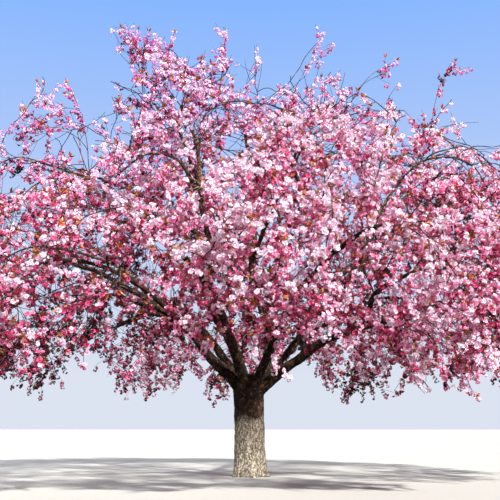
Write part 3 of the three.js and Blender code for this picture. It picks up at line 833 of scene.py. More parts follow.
def empty_places(wood, inside, reach, seen_along):
    """The places that no flowering wood comes near; seen_along leaves a direction out."""
    flowering = np.vstack([way[int(bare * len(way)):] for kind in FLOWERING
                           for way, _, bare in wood.ways[kind] if bare < 1.0]) * seen_along
    tree = KDTree(len(flowering))
    for index, point in enumerate(flowering):
        tree.insert(point, index)
    tree.balance()
    return inside[[tree.find(point)[2] > reach for point in inside * seen_along]]


def grow_filling_sprays(wood, clouds):
    """Sprays into the places of the masses that the others leave empty, in the whole crown and
    then on its upper side as seen from above."""
    inside = np.vstack([cloud for cloud, _, _ in clouds])
    inside = inside[(inside[:, 2] > LOWEST_JOINT) & ~in_opening(inside)]
    low, high = TOP_FILLING_HEIGHTS
    first, second = inside[random.integers(len(inside), size=(2, BETWEEN_PAIRS))]
    between = ((first + second) / 2)[np.linalg.norm(first - second, axis=1) < BETWEEN_MASSES]
    upper = np.vstack([inside, between])
    upper = upper[(upper[:, 2] > low) & (seen_from_front(upper)[:, 2] < high) & ~in_opening(upper)]
    anywhere = empty_places(wood, inside, EMPTY_REACH, np.ones(3))
    tips = spread_out(anywhere, FILLING_SPRAYS)
    from_above = empty_places(wood, upper, EMPTY_FROM_ABOVE, 1 - UP)
    for tip in np.vstack([tips, spread_out(from_above, TOP_FILLING_SPRAYS)]):
        grow_spray(wood, tip, nearest=0.3, foot=0.009, longer=0.0, bare=0.3, twigs_from=0.35)


def grow_inner_sprays(wood):
    """Short, sparse sprays from the boughs and limbs under the crown."""
    for points, _, _ in wood.ways["bough"] + wood.ways["limb"]:
        for place, along in zip(*points_along(points, INNER_SPRAY_SPACING, from_share=0.0)):
            if place[2] < LOWEST_JOINT or math.hypot(place[0], place[1]) > INNER_SPRAY_REACH:
                continue
            heading = sideways(along, lean=0.5)
            tip = place + heading * random.uniform(*INNER_SPRAY_LENGTH)
            way = bent_way(place, heading, tip, unit(heading - 0.9 * UP), SPRAY_STEP, waver=0.07)
            add_spray(wood, way, HANGING_RADIUS, bare=0.3, twigs_from=0.4)


def grow_bare_twigs(wood):
    """Fine bare twigs inside the crown, closest together on the left and under it."""
    for points, _, _ in wood.ways["bough"] + wood.ways["limb"] + wood.ways["branch"]:
        for k, (place, along) in enumerate(zip(*points_along(points, BARE_TWIG_SPACING, 0.1))):
            if place[0] > TWIGGY_LEFT and place[2] > TWIGGY_TOP and k % 2:
                continue
            if place[0] < TWIGGY_LEFT and place[2] > TWIGGY_LEFT_TOP:
                continue
            heading = sideways(along, lean=0.7)
            tip = place + heading * random.uniform(*BARE_TWIG_LENGTH)
            far_out = np.linalg.norm(tip - CROWN_MIDDLE) > BARE_TWIG_REACH
            if tip[2] < LOWEST_JOINT or far_out or in_opening(tip[None])[0]:
                continue
            end = unit(heading + random_directions(1)[0] * 0.6)
            way = bent_way(place, heading, tip, end, SPRAY_STEP, waver=0.08)
            wood.taper("side_twig", way, BARE_TWIG_RADIUS)


# Blossom: places of clusters, flowers and leaves
def points_along(way, spacing, from_share):
    length = distances_along(way)[-1] * (1 - from_share)
    count = max(1, int(length / spacing))
    steps = (np.arange(count) + random.uniform(0.4, 1, count)) / count
    share = from_share + (1 - from_share) * steps
    at = np.clip(share, 0, 1) * (len(way) - 1)
    low = np.minimum(at.astype(int), len(way) - 2)
    part = (at - low)[:, None]
    places = way[low] * (1 - part) + way[low + 1] * part
    return places, unit(way[low + 1] - way[low])


def lit(place):
    """Painted light and shade for the blossom of a spray, by where its tip lies: painted light in
    front, painted shade on the low left side and in the hollows of the crown, and even at the back."""
    from_middle = (place - np.array(CROWN_MIDDLE)) / BRIGHT_SIDE_REACH
    from_middle[1] = min(from_middle[1], 0.1)
    left = np.clip((-place[0] - SHADED_LEFT[0]) / SHADED_LEFT[1], 0, 1)
    low = np.clip((SHADED_LOW[0] - place[2]) / SHADED_LOW[1], 0, 1)
    in_front = np.clip(-place[1] / 2, 0, 1)
    seen = seen_from_front(place[None])[0]
    hollows = sum((darker if darker > 0 else darker * in_front)
                  * math.exp(-((seen[0] - x) / across)**2 - ((seen[2] - z) / up)**2)
                  for x, z, across, up, darker in SHADED_PLACES)
    even_from, even = BACK_EVEN
    facing_front = np.clip((even - place[1]) / (even - even_from), 0, 1)
    shade = (SHADED_SIDE * left * low + hollows) * facing_front
    return BRIGHT_SIDE_WEIGHT * np.dot(from_middle, unit(BRIGHT_SIDE)) - shade


def clusters(wood):
    """Places of all clusters of flowers, the heading of their twig, and the spray's painted light.
    """
    places, headings, spray_painted_light = [], [], []
    for way, _, bare in [way for kind in FLOWERING for way in wood.ways[kind]]:
        if bare == 1.0:
            continue
        spacing = CLUSTER_SPACING * (BRANCH_CLUSTERS_WIDER if bare == BRANCH_BARE else 1.0)
        at, heading = points_along(way, spacing, bare)
        hang = random.uniform(*CLUSTER_HANG, (len(at), 1)) * -UP
        places.append(at + hang + random_directions(len(at)) * CLUSTER_SCATTER)
        headings.append(heading)
        # Painted light and shade by where the spray's tip lies, with some chance
        spray_painted_light.append(np.full(len(at), lit(way[-1]) + random.normal() * SPRAY_CHANCE))
    places, headings, spray_painted_light = np.vstack(places), np.vstack(headings), np.concatenate(spray_painted_light)
    kept = between_gaps(places) | within(places, FULL_PLACES)
    kept &= ~in_opening(places) & ~before_branch(wood, places)
    return places[kept], headings[kept], spray_painted_light[kept]


def towards_light(places):
    """The direction of the light that reaches each place."""
    return np.where(places[:, 1:2] > BACK_HALF, unit(BACK_FROM), unit(KEY_FROM))


def covered(places):
    """How deep each place lies in the blossom, from 0 outside to 1 inside, which deepens its
    painted shade: how much of it there is on the ways from the place to the light and out of the
    crown."""
    cells = np.floor(places / COVER_CELL).astype(int)
    low = cells.min(axis=0) - COVER_REACH - 1
    size = cells.max(axis=0) - low + COVER_REACH + 2
    full = np.zeros(size)
    np.add.at(full, tuple((cells - low).T), 1)
    total = np.zeros(len(places))
    for way_out in (towards_light(places), unit(outwards(places) + 0.5 * UP)):
        for step in range(1, COVER_REACH):
            there = np.floor((places + way_out * COVER_CELL * step) / COVER_CELL).astype(int) - low
            total += full[tuple(np.clip(there, 0, size - 1).T)]
    return np.argsort(np.argsort(total)) / len(total)


def flowers(cluster_places, cluster_painted_light):
    """Place, facing and shade of every flower: its colour is painted light, paler where it faces
    the light and deeper where blossom covers it.
    """
    counts = random.integers(*FLOWERS_PER_CLUSTER, len(cluster_places))
    owner = np.repeat(np.arange(len(cluster_places)), counts)
    total = len(owner)
    direction = unit(random_directions(total) - 0.3 * UP)
    reach = CLUSTER_RADIUS * random.uniform(0.6, 1.15, total)[:, None]
    places = cluster_places[owner] + direction * reach
    facing = unit(direction + outwards(places) * 0.4 + random_directions(total) * 0.35)
    # Painted light: flowers that face the light get paler shades
    sunny = np.einsum("ij,ij->i", direction, unit(towards_light(places) + 0.4 * UP))
    light = (cluster_painted_light[owner] + sunny * FACING_WEIGHT
             + random.normal(size=total) * FLOWER_CHANCE)
    # Painted shade: flowers deep in the blossom get deeper shades
    light -= covered(cluster_places)[owner] * COVER_WEIGHT
    cuts = np.quantile(light, np.cumsum([share for _, share in SHADES.values()])[:-1])
    return places, facing, np.searchsorted(cuts, light)


# Templates of a flower and a leaf: a few faces each, one unit in size
def placed(name, data):
    """A new object of the data in the scene."""
    piece = bpy.data.objects.new(name, data)
    bpy.context.scene.collection.objects.link(piece)
    return piece


def mesh_object(name, vertices, faces):
    mesh = bpy.data.meshes.new(name)
    mesh.from_pydata(vertices, [], faces)
    return placed(name, mesh)


def map_by_place(piece, place_of):
    """A UV map named petal, from each corner's place in the template."""
    layer = piece.data.uv_layers.new(name="petal")
    for loop in piece.data.loops:
        layer.data[loop.index].uv = place_of(piece.data.vertices[loop.vertex_index].co)


def flower_template():
    """A double flower: five broad, uneven outer petals round three steeper inner ones."""
    petals = [(2 * math.pi * k / 5, 0.56, 0.98 - 0.05 * (k % 2), -0.25, rise, twist)
              for k, (rise, twist) in enumerate([(-0.05, 0.16), (0.25, -0.1), (0.0, -0.18),
                                                 (0.3, 0.12), (0.12, 0.2)])]
    petals += [(2 * math.pi * (k + 0.4) / 3, 0.74, 0.6, -0.1, rise, twist)
               for k, (rise, twist) in enumerate([(0.55, 0.1), (0.42, -0.12), (0.6, 0.0)])]
    vertices, faces = [], []
    for turn, half, reach, foot, rise, twist in petals:
        first = len(vertices)
        vertices.append((0.1 * math.cos(turn), 0.1 * math.sin(turn), foot))
        for side in (-1, 1):
            angle = turn + side * half
            vertices.append((reach * math.cos(angle), reach * math.sin(angle), rise + side * twist))
        faces.append((first, first + 1, first + 2))
    piece = mesh_object("flower_template", vertices, faces)
    map_by_place(piece, lambda co: (math.hypot(co.x, co.y), 0.5 + co.z))
    return piece


def leaf_template():
    """A pointed leaf folded along its middle, lying along Z."""
    vertices = [(0, 0, 0), (0.24, 0.09, 0.42), (0, -0.02, 0.5), (-0.24, 0.09, 0.42), (0, 0.1, 1)]
    piece = mesh_object("leaf_template", vertices, [(0, 1, 2), (2, 1, 4), (0, 2, 3), (3, 2, 4)])
    map_by_place(piece, lambda co: (abs(co.x), co.z))
    return piece


# Node trees, for shapes and for colours
RELIEF_INPUTS = [(label, "Float") for label in TRUNK_RELIEF]
NO_RELIEF = {label: 0.0 for label in TRUNK_RELIEF}


def feed(tree, node, sockets):
    """Links or sets a node's inputs, each given by its name or number."""
    for label, value in sockets.items():
        socket = node.inputs[label]
        if isinstance(value, bpy.types.NodeSocket):
            tree.links.new(value, socket)
        elif socket.type == "RGBA":
            socket.default_value = (*value, 1)
        else:
            socket.default_value = value


def add_node(tree, kind, sockets=None, **settings):
    """A node with its settings and inputs; gives its outputs."""
    node = tree.nodes.new(kind)
    for label, value in settings.items():
        setattr(node, label, value)
    feed(tree, node, sockets or {})
    return node.outputs


def new_group(kind, name, inputs, outputs):
    """An empty node group: the group, what it is given, and the node that takes its results."""
    group = bpy.data.node_groups.new(name, kind)
    for side, sockets in (("INPUT", inputs), ("OUTPUT", outputs)):
        for label, socket in sockets:
            group.interface.new_socket(label, in_out=side, socket_type=f"NodeSocket{socket}")
    return group, add_node(group, "NodeGroupInput"), group.nodes.new("NodeGroupOutput")


def new_tree(name, inputs):
    geometry = ("Geometry", "Geometry")
    return new_group("GeometryNodeTree", name, [geometry, *inputs], [geometry])


def calculated(tree, operation, first, second=None, clamp=False):
    """The result of a Math node on two values, each a socket or a number."""
    values = {0: first} if second is None else {0: first, 1: second}
    return add_node(tree, "ShaderNodeMath", values, operation=operation, use_clamp=clamp)["Value"]


def noise(tree, place, scale, detail=2.0, roughness=0.5):
    return add_node(tree, "ShaderNodeTexNoise", {
        "Vector": place, "Scale": scale, "Detail": detail, "Roughness": roughness})["Fac"]


def from_fissures(tree, place, given, detail):
    """How far each place is from the nearest fissure, which runs along the grain."""
    grain = add_node(tree, "ShaderNodeCombineXYZ", {"X": 1.0, "Y": 1.0, "Z": given["Stretch"]})
    along = add_node(tree, "ShaderNodeVectorMath", {0: place, 1: grain["Vector"]},
                     operation="MULTIPLY")
    fissures = noise(tree, along["Vector"], given["Fissure Scale"], detail)
    return calculated(tree, "ABSOLUTE", calculated(tree, "SUBTRACT", fissures, 0.5))


def finished(tree, geometry, given, end):
    """Ends a tree: instances made real, and the material set."""
    real = add_node(tree, "GeometryNodeRealizeInstances", {"Geometry": geometry})["Geometry"]
    dressed = add_node(tree, "GeometryNodeSetMaterial", {
        "Geometry": real, "Material": given["Material"]})
    feed(tree, end, {"Geometry": dressed["Geometry"]})
    return tree


def strewing_tree():
    """Sets one template on every point, turned to the point's facing, with seeded spin and size."""
    tree, given, end = new_tree("strew on points", [
        ("Template", "Object"), ("Size", "Float"), ("Size Spread", "Float"), ("Seed", "Int"),
        ("Material", "Material")])
    template = add_node(tree, "GeometryNodeObjectInfo", {"Object": given["Template"]})
    facing = add_node(tree, "GeometryNodeInputNamedAttribute", {"Name": "facing"},
                      data_type="FLOAT_VECTOR")
    aim = add_node(tree, "FunctionNodeAlignRotationToVector", {"Vector": facing["Attribute"]},
                   axis="Z")
    spin = add_node(tree, "FunctionNodeRandomValue", {3: 2 * math.pi, "Seed": given["Seed"]})
    turn = add_node(tree, "FunctionNodeAxisAngleToRotation", {"Axis": (0, 0, 1), "Angle": spin[1]})
    both = add_node(tree, "FunctionNodeRotateRotation", {
        "Rotation": aim["Rotation"], "Rotate By": turn["Rotation"]}, rotation_space="LOCAL")
    size = add_node(tree, "FunctionNodeRandomValue", {
        2: calculated(tree, "SUBTRACT", 1.0, given["Size Spread"]),
        3: calculated(tree, "ADD", 1.0, given["Size Spread"]),
        "Seed": calculated(tree, "ADD", given["Seed"], 7.0)})
    strewn = add_node(tree, "GeometryNodeInstanceOnPoints", {
        "Points": given["Geometry"], "Instance": template["Geometry"], "Rotation": both["Rotation"],
        "Scale": calculated(tree, "MULTIPLY", given["Size"], size[1])})
    return finished(tree, strewn["Instances"], given, end)


def relief_tree():
    """Bark relief on any surface: fissures that follow the grain, and broad swellings."""
    tree, given, end = new_tree("bark relief", RELIEF_INPUTS)
    place = add_node(tree, "GeometryNodeInputPosition")["Position"]
    plates = calculated(tree, "MULTIPLY", from_fissures(tree, place, given, 3.0), 6.0, clamp=True)
    plates = calculated(tree, "SUBTRACT", plates, 0.7)
    swells = calculated(tree, "SUBTRACT", noise(tree, place, given["Swell Scale"], 1.0), 0.5)
    height = calculated(tree, "ADD", calculated(tree, "MULTIPLY", plates, given["Fissure Depth"]),
                        calculated(tree, "MULTIPLY", swells, given["Swell Depth"]))
    normal = add_node(tree, "GeometryNodeInputNormal")["Normal"]
    push = add_node(tree, "ShaderNodeVectorMath", {0: normal, "Scale": height}, operation="SCALE")
    moved = add_node(tree, "GeometryNodeSetPosition", {
        "Geometry": given["Geometry"], "Offset": push["Vector"]})
    feed(tree, end, {"Geometry": moved["Geometry"]})
    return tree


def with_relief(tree, relief, geometry, given):
    """Puts the relief group into a tree, fed by the tree's own inputs."""
    values = {"Geometry": geometry, **{label: given[label] for label in TRUNK_RELIEF}}
    barky = add_node(tree, "GeometryNodeGroup", values, node_tree=relief)["Geometry"]
    return add_node(tree, "GeometryNodeSetShadeSmooth", {"Geometry": barky})["Geometry"]


def bark_skin_tree(relief):
    """The relief and the material on a mesh of trunk and fork."""
    tree, given, end = new_tree("bark on a skin", [*RELIEF_INPUTS, ("Material", "Material")])
    return finished(tree, with_relief(tree, relief, given["Geometry"], given), given, end)


def wood_tree(relief):
    """Round wood along every way, as thick as the way's radius, with a relief of bark."""
    tree, given, end = new_tree("wood along ways", [
        ("Sides", "Int"), ("Step", "Float"), *RELIEF_INPUTS, ("Material", "Material")])
    steps = add_node(tree, "GeometryNodeResampleCurve", {
        "Curve": given["Geometry"], "Length": given["Step"]}, mode="LENGTH")
    ring = add_node(tree, "GeometryNodeCurvePrimitiveCircle", {
        "Radius": 1.0, "Resolution": given["Sides"]})
    sweep = add_node(tree, "GeometryNodeCurveToMesh", {
        "Curve": steps["Curve"], "Profile Curve": ring["Curve"], "Fill Caps": True,
        "Scale": add_node(tree, "GeometryNodeInputRadius")["Radius"]})
    return finished(tree, with_relief(tree, relief, sweep["Mesh"], given), given, end)


def made_by(tree, source, name, values):
    """Runs a node tree on the source and keeps its result as a plain mesh object."""
    modifier = source.modifiers.new("make", "NODES")
    modifier.node_group = tree
    identifiers = {item.name: item.identifier for item in tree.interface.items_tree
                   if item.item_type == "SOCKET" and item.in_out == "INPUT"}
    for label, value in values.items():
        modifier[identifiers[label]] = value
    source.update_tag()
    bpy.context.view_layer.update()
    ready = source.evaluated_get(bpy.context.evaluated_depsgraph_get())
    mesh = bpy.data.meshes.new_from_object(ready)
    mesh.name = name
    source.modifiers.clear()
    bpy.data.objects.remove(source)
    return placed(name, mesh)


def strewn_points(places, facing):
    mesh = bpy.data.meshes.new("points")
    mesh.vertices.add(len(places))
    mesh.vertices.foreach_set("co", np.asarray(places, dtype=np.float32).ravel())
    layer = mesh.attributes.new("facing", "FLOAT_VECTOR", "POINT")
    layer.data.foreach_set("vector", np.asarray(facing, dtype=np.float32).ravel())
    return placed("points", mesh)


def ways_object(ways):
    curve = bpy.data.curves.new("ways", "CURVE")
    curve.dimensions = "3D"
    for points, radii, *_ in ways:
        spline = curve.splines.new("POLY")
        spline.points.add(len(points) - 1)
        flat = np.column_stack([points, np.ones(len(points))]).astype(np.float32)
        spline.points.foreach_set("co", flat.ravel())
        spline.points.foreach_set("radius", np.asarray(radii, dtype=np.float32))
    return placed("ways", curve)


# Trunk and fork
def trunk_radius(height, angle):
    flare = math.exp(-height / FLARE_HEIGHT)
    under_fork = height / TRUNK_HEIGHT
    lobes = 1 + FLARE_LOBE_DEPTH * flare * math.cos(FLARE_LOBES * angle + FLARE_LOBE_TURN)
    full = (TRUNK_RADIUS + FLARE_EXTRA * flare + FORK_SWELL * under_fork**4) * lobes
    rounding = max(0, 1 - (TRUNK_HEIGHT - height) / FORK_ROUNDING) ** 2
    return full * (1 - FORK_NARROWING * rounding)


def trunk_shell():
    """The trunk's closed surface, ring by ring, before the bark."""
    vertices, faces = [], []
    for height in np.linspace(0, TRUNK_HEIGHT, TRUNK_RINGS):
        middle = np.array(TRUNK_LEAN) * height / TRUNK_HEIGHT
        for angle in np.arange(TRUNK_SIDES) * 2 * math.pi / TRUNK_SIDES:
            radius = trunk_radius(height, angle)
            vertices.append((middle[0] + radius * math.cos(angle),
                             middle[1] + radius * math.sin(angle), height))
    last = (TRUNK_RINGS - 1) * TRUNK_SIDES
    for i in range(0, last, TRUNK_SIDES):
        for k in range(TRUNK_SIDES):
            a, b = i + k, i + (k + 1) % TRUNK_SIDES
            faces.append((a, b, b + TRUNK_SIDES, a + TRUNK_SIDES))
    faces.append(tuple(reversed(range(TRUNK_SIDES))))
    faces.append(tuple(range(last, last + TRUNK_SIDES)))
    return mesh_object("trunk_shell", vertices, faces)


def fork_ways(wood):
    """The feet of the boughs, which are one skin with the trunk, tucked in at their ends."""
    feet = []
    for points, radii, _ in wood.ways["bough"]:
        far = distances_along(points)
        tuck = 1 - FORK_TUCK * smooth_step((far - FORK_REACH + FORK_OVERLAP) / FORK_OVERLAP)
        foot = far <= FORK_REACH
        feet.append((points[foot], (radii * tuck)[foot]))
    return feet


def outer_ways(wood):
    """The boughs beyond the fork, and the limbs."""
    outer = [(points, radii) for points, radii, _ in wood.ways["limb"]]
    for points, radii, _ in wood.ways["bough"]:
        far = distances_along(points)
        tuck = 1 - FORK_TUCK * smooth_step((FORK_REACH - far) / FORK_OVERLAP)
        beyond = far >= FORK_REACH - FORK_OVERLAP
        outer.append((points[beyond], (radii * tuck)[beyond]))
    return outer


def trunk_with_fork(wood, along, skin, material):
    """Trunk and feet of the boughs under one skin, with the bark's relief."""
    feet = made_by(along, ways_object(fork_ways(wood)), "fork_feet",
                   {**NO_RELIEF, "Sides": 20, "Step": 0.05, "Material": material})
    shell = trunk_shell()
    joined = bmesh.new()
    joined.from_mesh(shell.data)
    joined.from_mesh(feet.data)
    joined.to_mesh(shell.data)
    joined.free()
    bpy.data.objects.remove(feet)
    one_skin = shell.modifiers.new("one skin", "REMESH")
    one_skin.mode = "VOXEL"
    one_skin.voxel_size = FORK_VOXEL
    softer = shell.modifiers.new("softer joints", "SMOOTH")
    softer.factor = 0.5
    softer.iterations = 8
    trunk = made_by(skin, shell, "trunk_with_fork", {**TRUNK_RELIEF, "Material": material})
    for vertex in trunk.data.vertices:
        if vertex.co.z < FORK_VOXEL:
            vertex.co.z = 0.0
    return trunk


# Materials
def new_material(name):
    """A material, its node tree and its shader."""
    material = bpy.data.materials.new(name)
    material.use_nodes = True
    return material, material.node_tree, material.node_tree.nodes["Principled BSDF"]


def mixed(tree, factor, first, second, **settings):
    """A colour between two, each a socket or a colour."""
    return add_node(tree, "ShaderNodeMix", {"Factor": factor, 6: first, 7: second},
                    data_type="RGBA", **settings)[2]


def stepped(tree, value, low, high):
    """The value stretched so that low becomes 0 and high becomes 1."""
    return add_node(tree, "ShaderNodeMapRange", {
        "Value": value, "From Min": low, "From Max": high})["Result"]


def part_of(tree, vector, axis):
    return add_node(tree, "ShaderNodeSeparateXYZ", {"Vector": vector})[axis]


def object_place(tree):
    return add_node(tree, "ShaderNodeTexCoord")["Object"]


def template_place(tree):
    return add_node(tree, "ShaderNodeUVMap", uv_map="petal")["UV"]


def petal_group():
    """Petal colour: deeper in the throat, paler at the rim, with small differences by flower, and a
    painted bluish tint of sky light and shade up the crown and to its left."""
    group, given, end = new_group("ShaderNodeTree", "petal colour", [
        (label, "Color") for label in ("Throat", "Body", "Rim")], [("Colour", "Color")])
    outwards_on_petal = part_of(group, template_place(group), "X")
    throat = mixed(group, stepped(group, outwards_on_petal, 0.1, 0.45), given["Throat"],
                   given["Body"])
    petal = mixed(group, stepped(group, outwards_on_petal, 0.45, 0.8), throat, given["Rim"])
    place = object_place(group)
    patchy = mixed(group, stepped(group, noise(group, place, 11.0), 0.42, 0.7), petal, given["Rim"])
    # Painted sky light and shade: the petals turn bluer up the crown and to its left
    leftwards = calculated(group, "MULTIPLY", part_of(group, place, "X"), -0.4)
    height = calculated(group, "ADD", part_of(group, place, "Z"), leftwards)
    skylit_petal = mixed(group, stepped(group, height, *PAINTED_SKYLIGHT_HEIGHTS), patchy, PAINTED_SKYLIGHT_TINT,
                   blend_type="MULTIPLY", clamp_result=True)
    feed(group, end, {"Colour": skylit_petal})
    return group


def petal_material(name, group, colour):
    """Petals of one shade, deeper on their backs: partly the petals' own colour, partly painted
    shade on their undersides.
    """
    material, tree, shader = new_material(name)
    throat = [channel**1.8 for channel in colour]
    petal = add_node(tree, "ShaderNodeGroup", {
        "Throat": throat, "Body": [channel**1.2 for channel in colour], "Rim": colour},
        node_tree=group)
    # Painted shade on the undersides: the backs of the petals are mixed halfway to the throat
    # colour
    back = calculated(tree, "MULTIPLY", add_node(tree, "ShaderNodeNewGeometry")["Backfacing"], 0.5)
    feed(tree, shader, {"Base Color": mixed(tree, back, petal["Colour"], throat), "Roughness": 0.6,
                        "Specular IOR Level": 0.3, "Sheen Weight": 0.1})
    return material


def leaf_material():
    """Young leaves, bronze to orange with a little green, darker along the fold."""
    material, tree, shader = new_material("young bronze leaf")
    patches = stepped(tree, noise(tree, object_place(tree), 4.0), 0.38, 0.62)
    tint = mixed(tree, patches, (0.56, 0.145, 0.035), (0.33, 0.15, 0.04))
    from_fold = stepped(tree, part_of(tree, template_place(tree), "X"), 0.0, 0.12)
    feed(tree, shader, {"Base Color": mixed(tree, from_fold, (0.3, 0.07, 0.02), tint),
                        "Roughness": 0.4})
    return material


def bark_group():
    """Bark: dark fissures between plates, and plates mottled with pale patches."""
    measures = ("Stretch", "Fissure Scale", "Mottle Scale", "Pale From")
    group, given, end = new_group("ShaderNodeTree", "bark pattern", [
        ("Place", "Vector"), *((label, "Float") for label in measures),
        *((label, "Color") for label in ("Dark", "Middle", "Pale"))],
        [("Colour", "Color"), ("Height", "Float")])
    plate = stepped(group, from_fissures(group, given["Place"], given, 5.0), 0.005, 0.09)
    mottle = noise(group, given["Place"], given["Mottle Scale"], 6.0, 0.7)
    patch = stepped(group, calculated(group, "SUBTRACT", mottle, given["Pale From"]), 0.0, 0.24)
    surface = mixed(group, patch, given["Middle"], given["Pale"])
    height = calculated(group, "ADD", calculated(group, "MULTIPLY", plate, 0.7),
                        calculated(group, "MULTIPLY", patch, 0.3))
    feed(group, end, {"Colour": mixed(group, plate, given["Dark"], surface), "Height": height})
    return group


def bark_node(tree, group, bark):
    """The bark pattern in a material, in this bark's measures and colours."""
    return add_node(tree, "ShaderNodeGroup", {"Place": object_place(tree), **bark},
                    node_tree=group)


def rough_bark(tree, shader, colour, height, depth):
    """Sets a bark's colour, its fine bumps and its roughness on the shader."""
    bump = add_node(tree, "ShaderNodeBump", {"Strength": 0.7, "Distance": depth, "Height": height})
    feed(tree, shader, {"Base Color": colour, "Normal": bump["Normal"], "Roughness": 0.88,
                        "Specular IOR Level": 0.25})


def trunk_bark(group):
    """Pale grey, lichened bark on the foot of the trunk that turns dark brown under the fork,
    partly the bark's own colour and partly painted shadow of the crown, with a ragged edge.
    """
    material, tree, shader = new_material("trunk bark")
    lichened = bark_node(tree, group, TRUNK_BARK)
    dark_bark_and_shadow = bark_node(tree, group, BOUGH_BARK_AND_SHADE)
    place = object_place(tree)
    # Painted shadow of the crown on the trunk, with a ragged edge, over bark that darkens under the
    # fork
    edge = calculated(tree, "SUBTRACT", noise(tree, place, 3.5, 4.0), 0.5)
    height = calculated(tree, "ADD", part_of(tree, place, "Z"),
                        calculated(tree, "MULTIPLY", edge, 0.7))
    colour = mixed(tree, stepped(tree, height, *TRUNK_SHADOW_AND_DARK_BARK), lichened["Colour"], dark_bark_and_shadow["Colour"])
    rough_bark(tree, shader, colour, lichened["Height"], BARK_BUMP["trunk"])
    return material


def bough_bark(group):
    """Nearly black bark, partly the bark's own dark brown and partly painted shade of the crown,
    with brown patches, more of them higher up.
    """
    material, tree, shader = new_material("bough bark")
    higher = stepped(tree, part_of(tree, object_place(tree), "Z"), *BOUGH_PALER)
    pale_from = calculated(tree, "ADD", calculated(tree, "MULTIPLY", higher, -0.16),
                           BOUGH_BARK_AND_SHADE["Pale From"])
    bark = bark_node(tree, group, {**BOUGH_BARK_AND_SHADE, "Pale From": pale_from})
    rough_bark(tree, shader, bark["Colour"], bark["Height"], BARK_BUMP["bough"])
    return material


def twig_bark(group):
    """Dark red-brown bark with pale stretches."""
    material, tree, shader = new_material("twig bark")
    bark = bark_node(tree, group, TWIG_BARK)
    rough_bark(tree, shader, bark["Colour"], bark["Height"], BARK_BUMP["twig"])
    return material


# Pieces
def build_wood_pieces(wood):
    """Trunk, boughs, branches and twigs as finished meshes."""
    bark = bark_group()
    relief = relief_tree()
    along = wood_tree(relief)
    twig = twig_bark(bark)
    trunk = trunk_with_fork(wood, along, bark_skin_tree(relief), trunk_bark(bark))
    boughs = made_by(along, ways_object(outer_ways(wood)), "boughs_with_bark",
                     {**BOUGH_RELIEF, "Sides": 18, "Step": 0.045, "Material": bough_bark(bark)})
    branches = made_by(along, ways_object(wood.ways["branch"]), "branches",
                       {**NO_RELIEF, "Sides": 5, "Step": 0.1, "Material": twig})
    twigs = made_by(along, ways_object(wood.ways["spray"] + wood.ways["side_twig"]), "twigs",
                    {**NO_RELIEF, "Sides": 3, "Step": 0.13, "Material": twig})
    return trunk, boughs, branches, twigs


def build_blossom(wood):
    """Every shade of flowers, and the young leaves."""
    strew = strewing_tree()
    petals = petal_group()
    cluster_places, cluster_headings, cluster_painted_light = clusters(wood)
    places, facing, shade = flowers(cluster_places, cluster_painted_light)
    template = flower_template()
    flower = {"Template": template, "Size": FLOWER_RADIUS, "Size Spread": FLOWER_SPREAD}
    blossom = [
        made_by(strew, strewn_points(places[shade == k], facing[shade == k]), f"blossom_{name}", {
            **flower, "Seed": k, "Material": petal_material(f"{name} petals", petals, colour)})
        for k, (name, (colour, _)) in enumerate(SHADES.items())]
    bpy.data.objects.remove(template)
    count = len(cluster_places)
    tufts = random.choice(count, int(count * TUFT_SHARE), replace=False)
    owner = np.repeat(tufts, LEAVES_PER_TUFT)
    spread = random_directions(len(owner)) * 0.9 + 0.3 * UP
    template = leaf_template()
    points = strewn_points(cluster_places[owner] + 0.05 * UP,
                           unit(cluster_headings[owner] + spread))
    leaves = made_by(strew, points, "bronze_leaves", {
        "Template": template, "Size": LEAF_LENGTH, "Size Spread": LEAF_SPREAD, "Seed": LEAF_SEED,
        "Material": leaf_material()})
    bpy.data.objects.remove(template)
    return blossom, leaves


# Floor, sky, lights and camera
def pale_floor():
    """A wide pale floor that throws back less light than it shows."""
    s = FLOOR_SIZE
    floor = mesh_object("floor", [(-s, -s, 0), (s, -s, 0), (s, s, 0), (-s, s, 0)], [(0, 1, 2, 3)])
    material, tree, shader = new_material("pale floor")
    seen = add_node(tree, "ShaderNodeLightPath")["Is Camera Ray"]
    feed(tree, shader, {"Base Color": mixed(tree, seen, FLOOR_BOUNCE_COLOUR, FLOOR_COLOUR),
                        "Roughness": 0.9})
    floor.data.materials.append(material)


def pale_sky():
    """A pale gradient for the camera, and a dimmer even sky that lights the tree."""
    world = bpy.data.worlds.new("pale sky")
    bpy.context.scene.world = world
    world.use_nodes = True
    tree = world.node_tree
    upwards = part_of(tree, add_node(tree, "ShaderNodeTexCoord")["Generated"], "Z")
    colour = mixed(tree, stepped(tree, upwards, *SKY_CHANGES), SKY_LOW_COLOUR, SKY_HIGH_COLOUR)
    shown = tree.nodes["Background"]
    feed(tree, shown, {"Color": colour})
    shining = add_node(tree, "ShaderNodeBackground", {
        "Color": SKY_LIGHT_COLOUR, "Strength": SKY_LIGHT_STRENGTH})
    seen = add_node(tree, "ShaderNodeLightPath")["Is Camera Ray"]
    either = add_node(tree, "ShaderNodeMixShader", {
        "Fac": seen, 1: shining["Background"], 2: shown.outputs["Background"]})
    feed(tree, tree.nodes["World Output"], {"Surface": either["Shader"]})


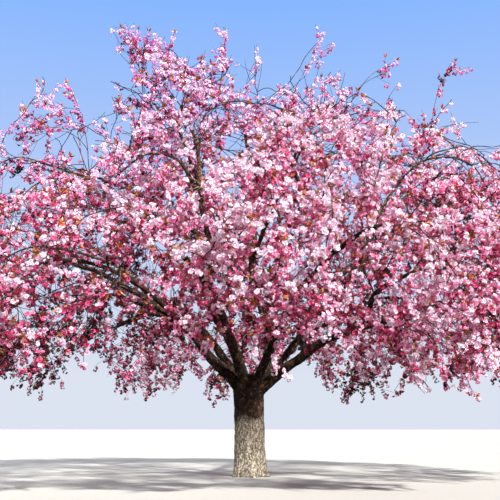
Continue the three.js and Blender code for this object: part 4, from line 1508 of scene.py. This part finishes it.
def add_light(name, kind, comes_from, colour, energy, **settings):
    light = placed(name, bpy.data.lights.new(name, kind))
    light.rotation_euler = Vector(comes_from).to_track_quat("Z", "Y").to_euler()
    light.data.color = colour
    light.data.energy = energy
    for label, value in settings.items():
        setattr(light.data, label, value)
    return light


def studio():
    """Floor, sky, a soft key from the front right, a low fill, a wide light from behind for the
    back of the crown, and a spot on the sunlit foot of the trunk."""
    pale_floor()
    pale_sky()
    for name, (comes_from, colour, strength, width) in SUNS.items():
        add_light(name, "SUN", comes_from, colour, strength, angle=math.radians(width))
    aim = Vector(FOOT_LIGHT_PLACE) - Vector(FOOT_LIGHT_AIM)
    spot = add_light("foot light", "SPOT", aim, FOOT_LIGHT_COLOUR, FOOT_LIGHT_WATTS,
                     spot_size=math.radians(FOOT_LIGHT_CONE), spot_blend=0.25, shadow_soft_size=0.1)
    spot.location = FOOT_LIGHT_PLACE
    camera = placed("camera", bpy.data.cameras.new("camera"))
    camera.location = CAMERA_PLACE
    camera.rotation_euler = (math.radians(90 + CAMERA_PITCH), 0, 0)
    camera.data.lens = LENS_MM
    camera.data.sensor_width = SENSOR_MM
    camera.data.clip_end = 1000
    bpy.context.scene.camera = camera
    bpy.context.scene.view_settings.view_transform = "Standard"


wood = Wood()
grow_boughs(wood)
clouds = mass_clouds()
grow_branches(wood, clouds)
grow_by_name(wood, ARCHES, showing=True)
grow_by_name(wood, SHOOTS, showing=False)
grow_fringe(wood)
grow_sprays(wood, clouds)
grow_filling_sprays(wood, clouds)
grow_inner_sprays(wood)
grow_bare_twigs(wood)
trunk, boughs, branches, twigs = build_wood_pieces(wood)
blossom, leaves = build_blossom(wood)
studio()

masses = [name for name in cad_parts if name.startswith("blossom_")]
limbs = [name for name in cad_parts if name.startswith(("bough_", "limb_"))]
for piece in (trunk, boughs, branches, twigs, leaves, *blossom):
    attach(piece, "root")
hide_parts("trunk", *limbs)
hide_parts(*limbs)
for piece in (branches, twigs, leaves, *blossom):
    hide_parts(*masses)
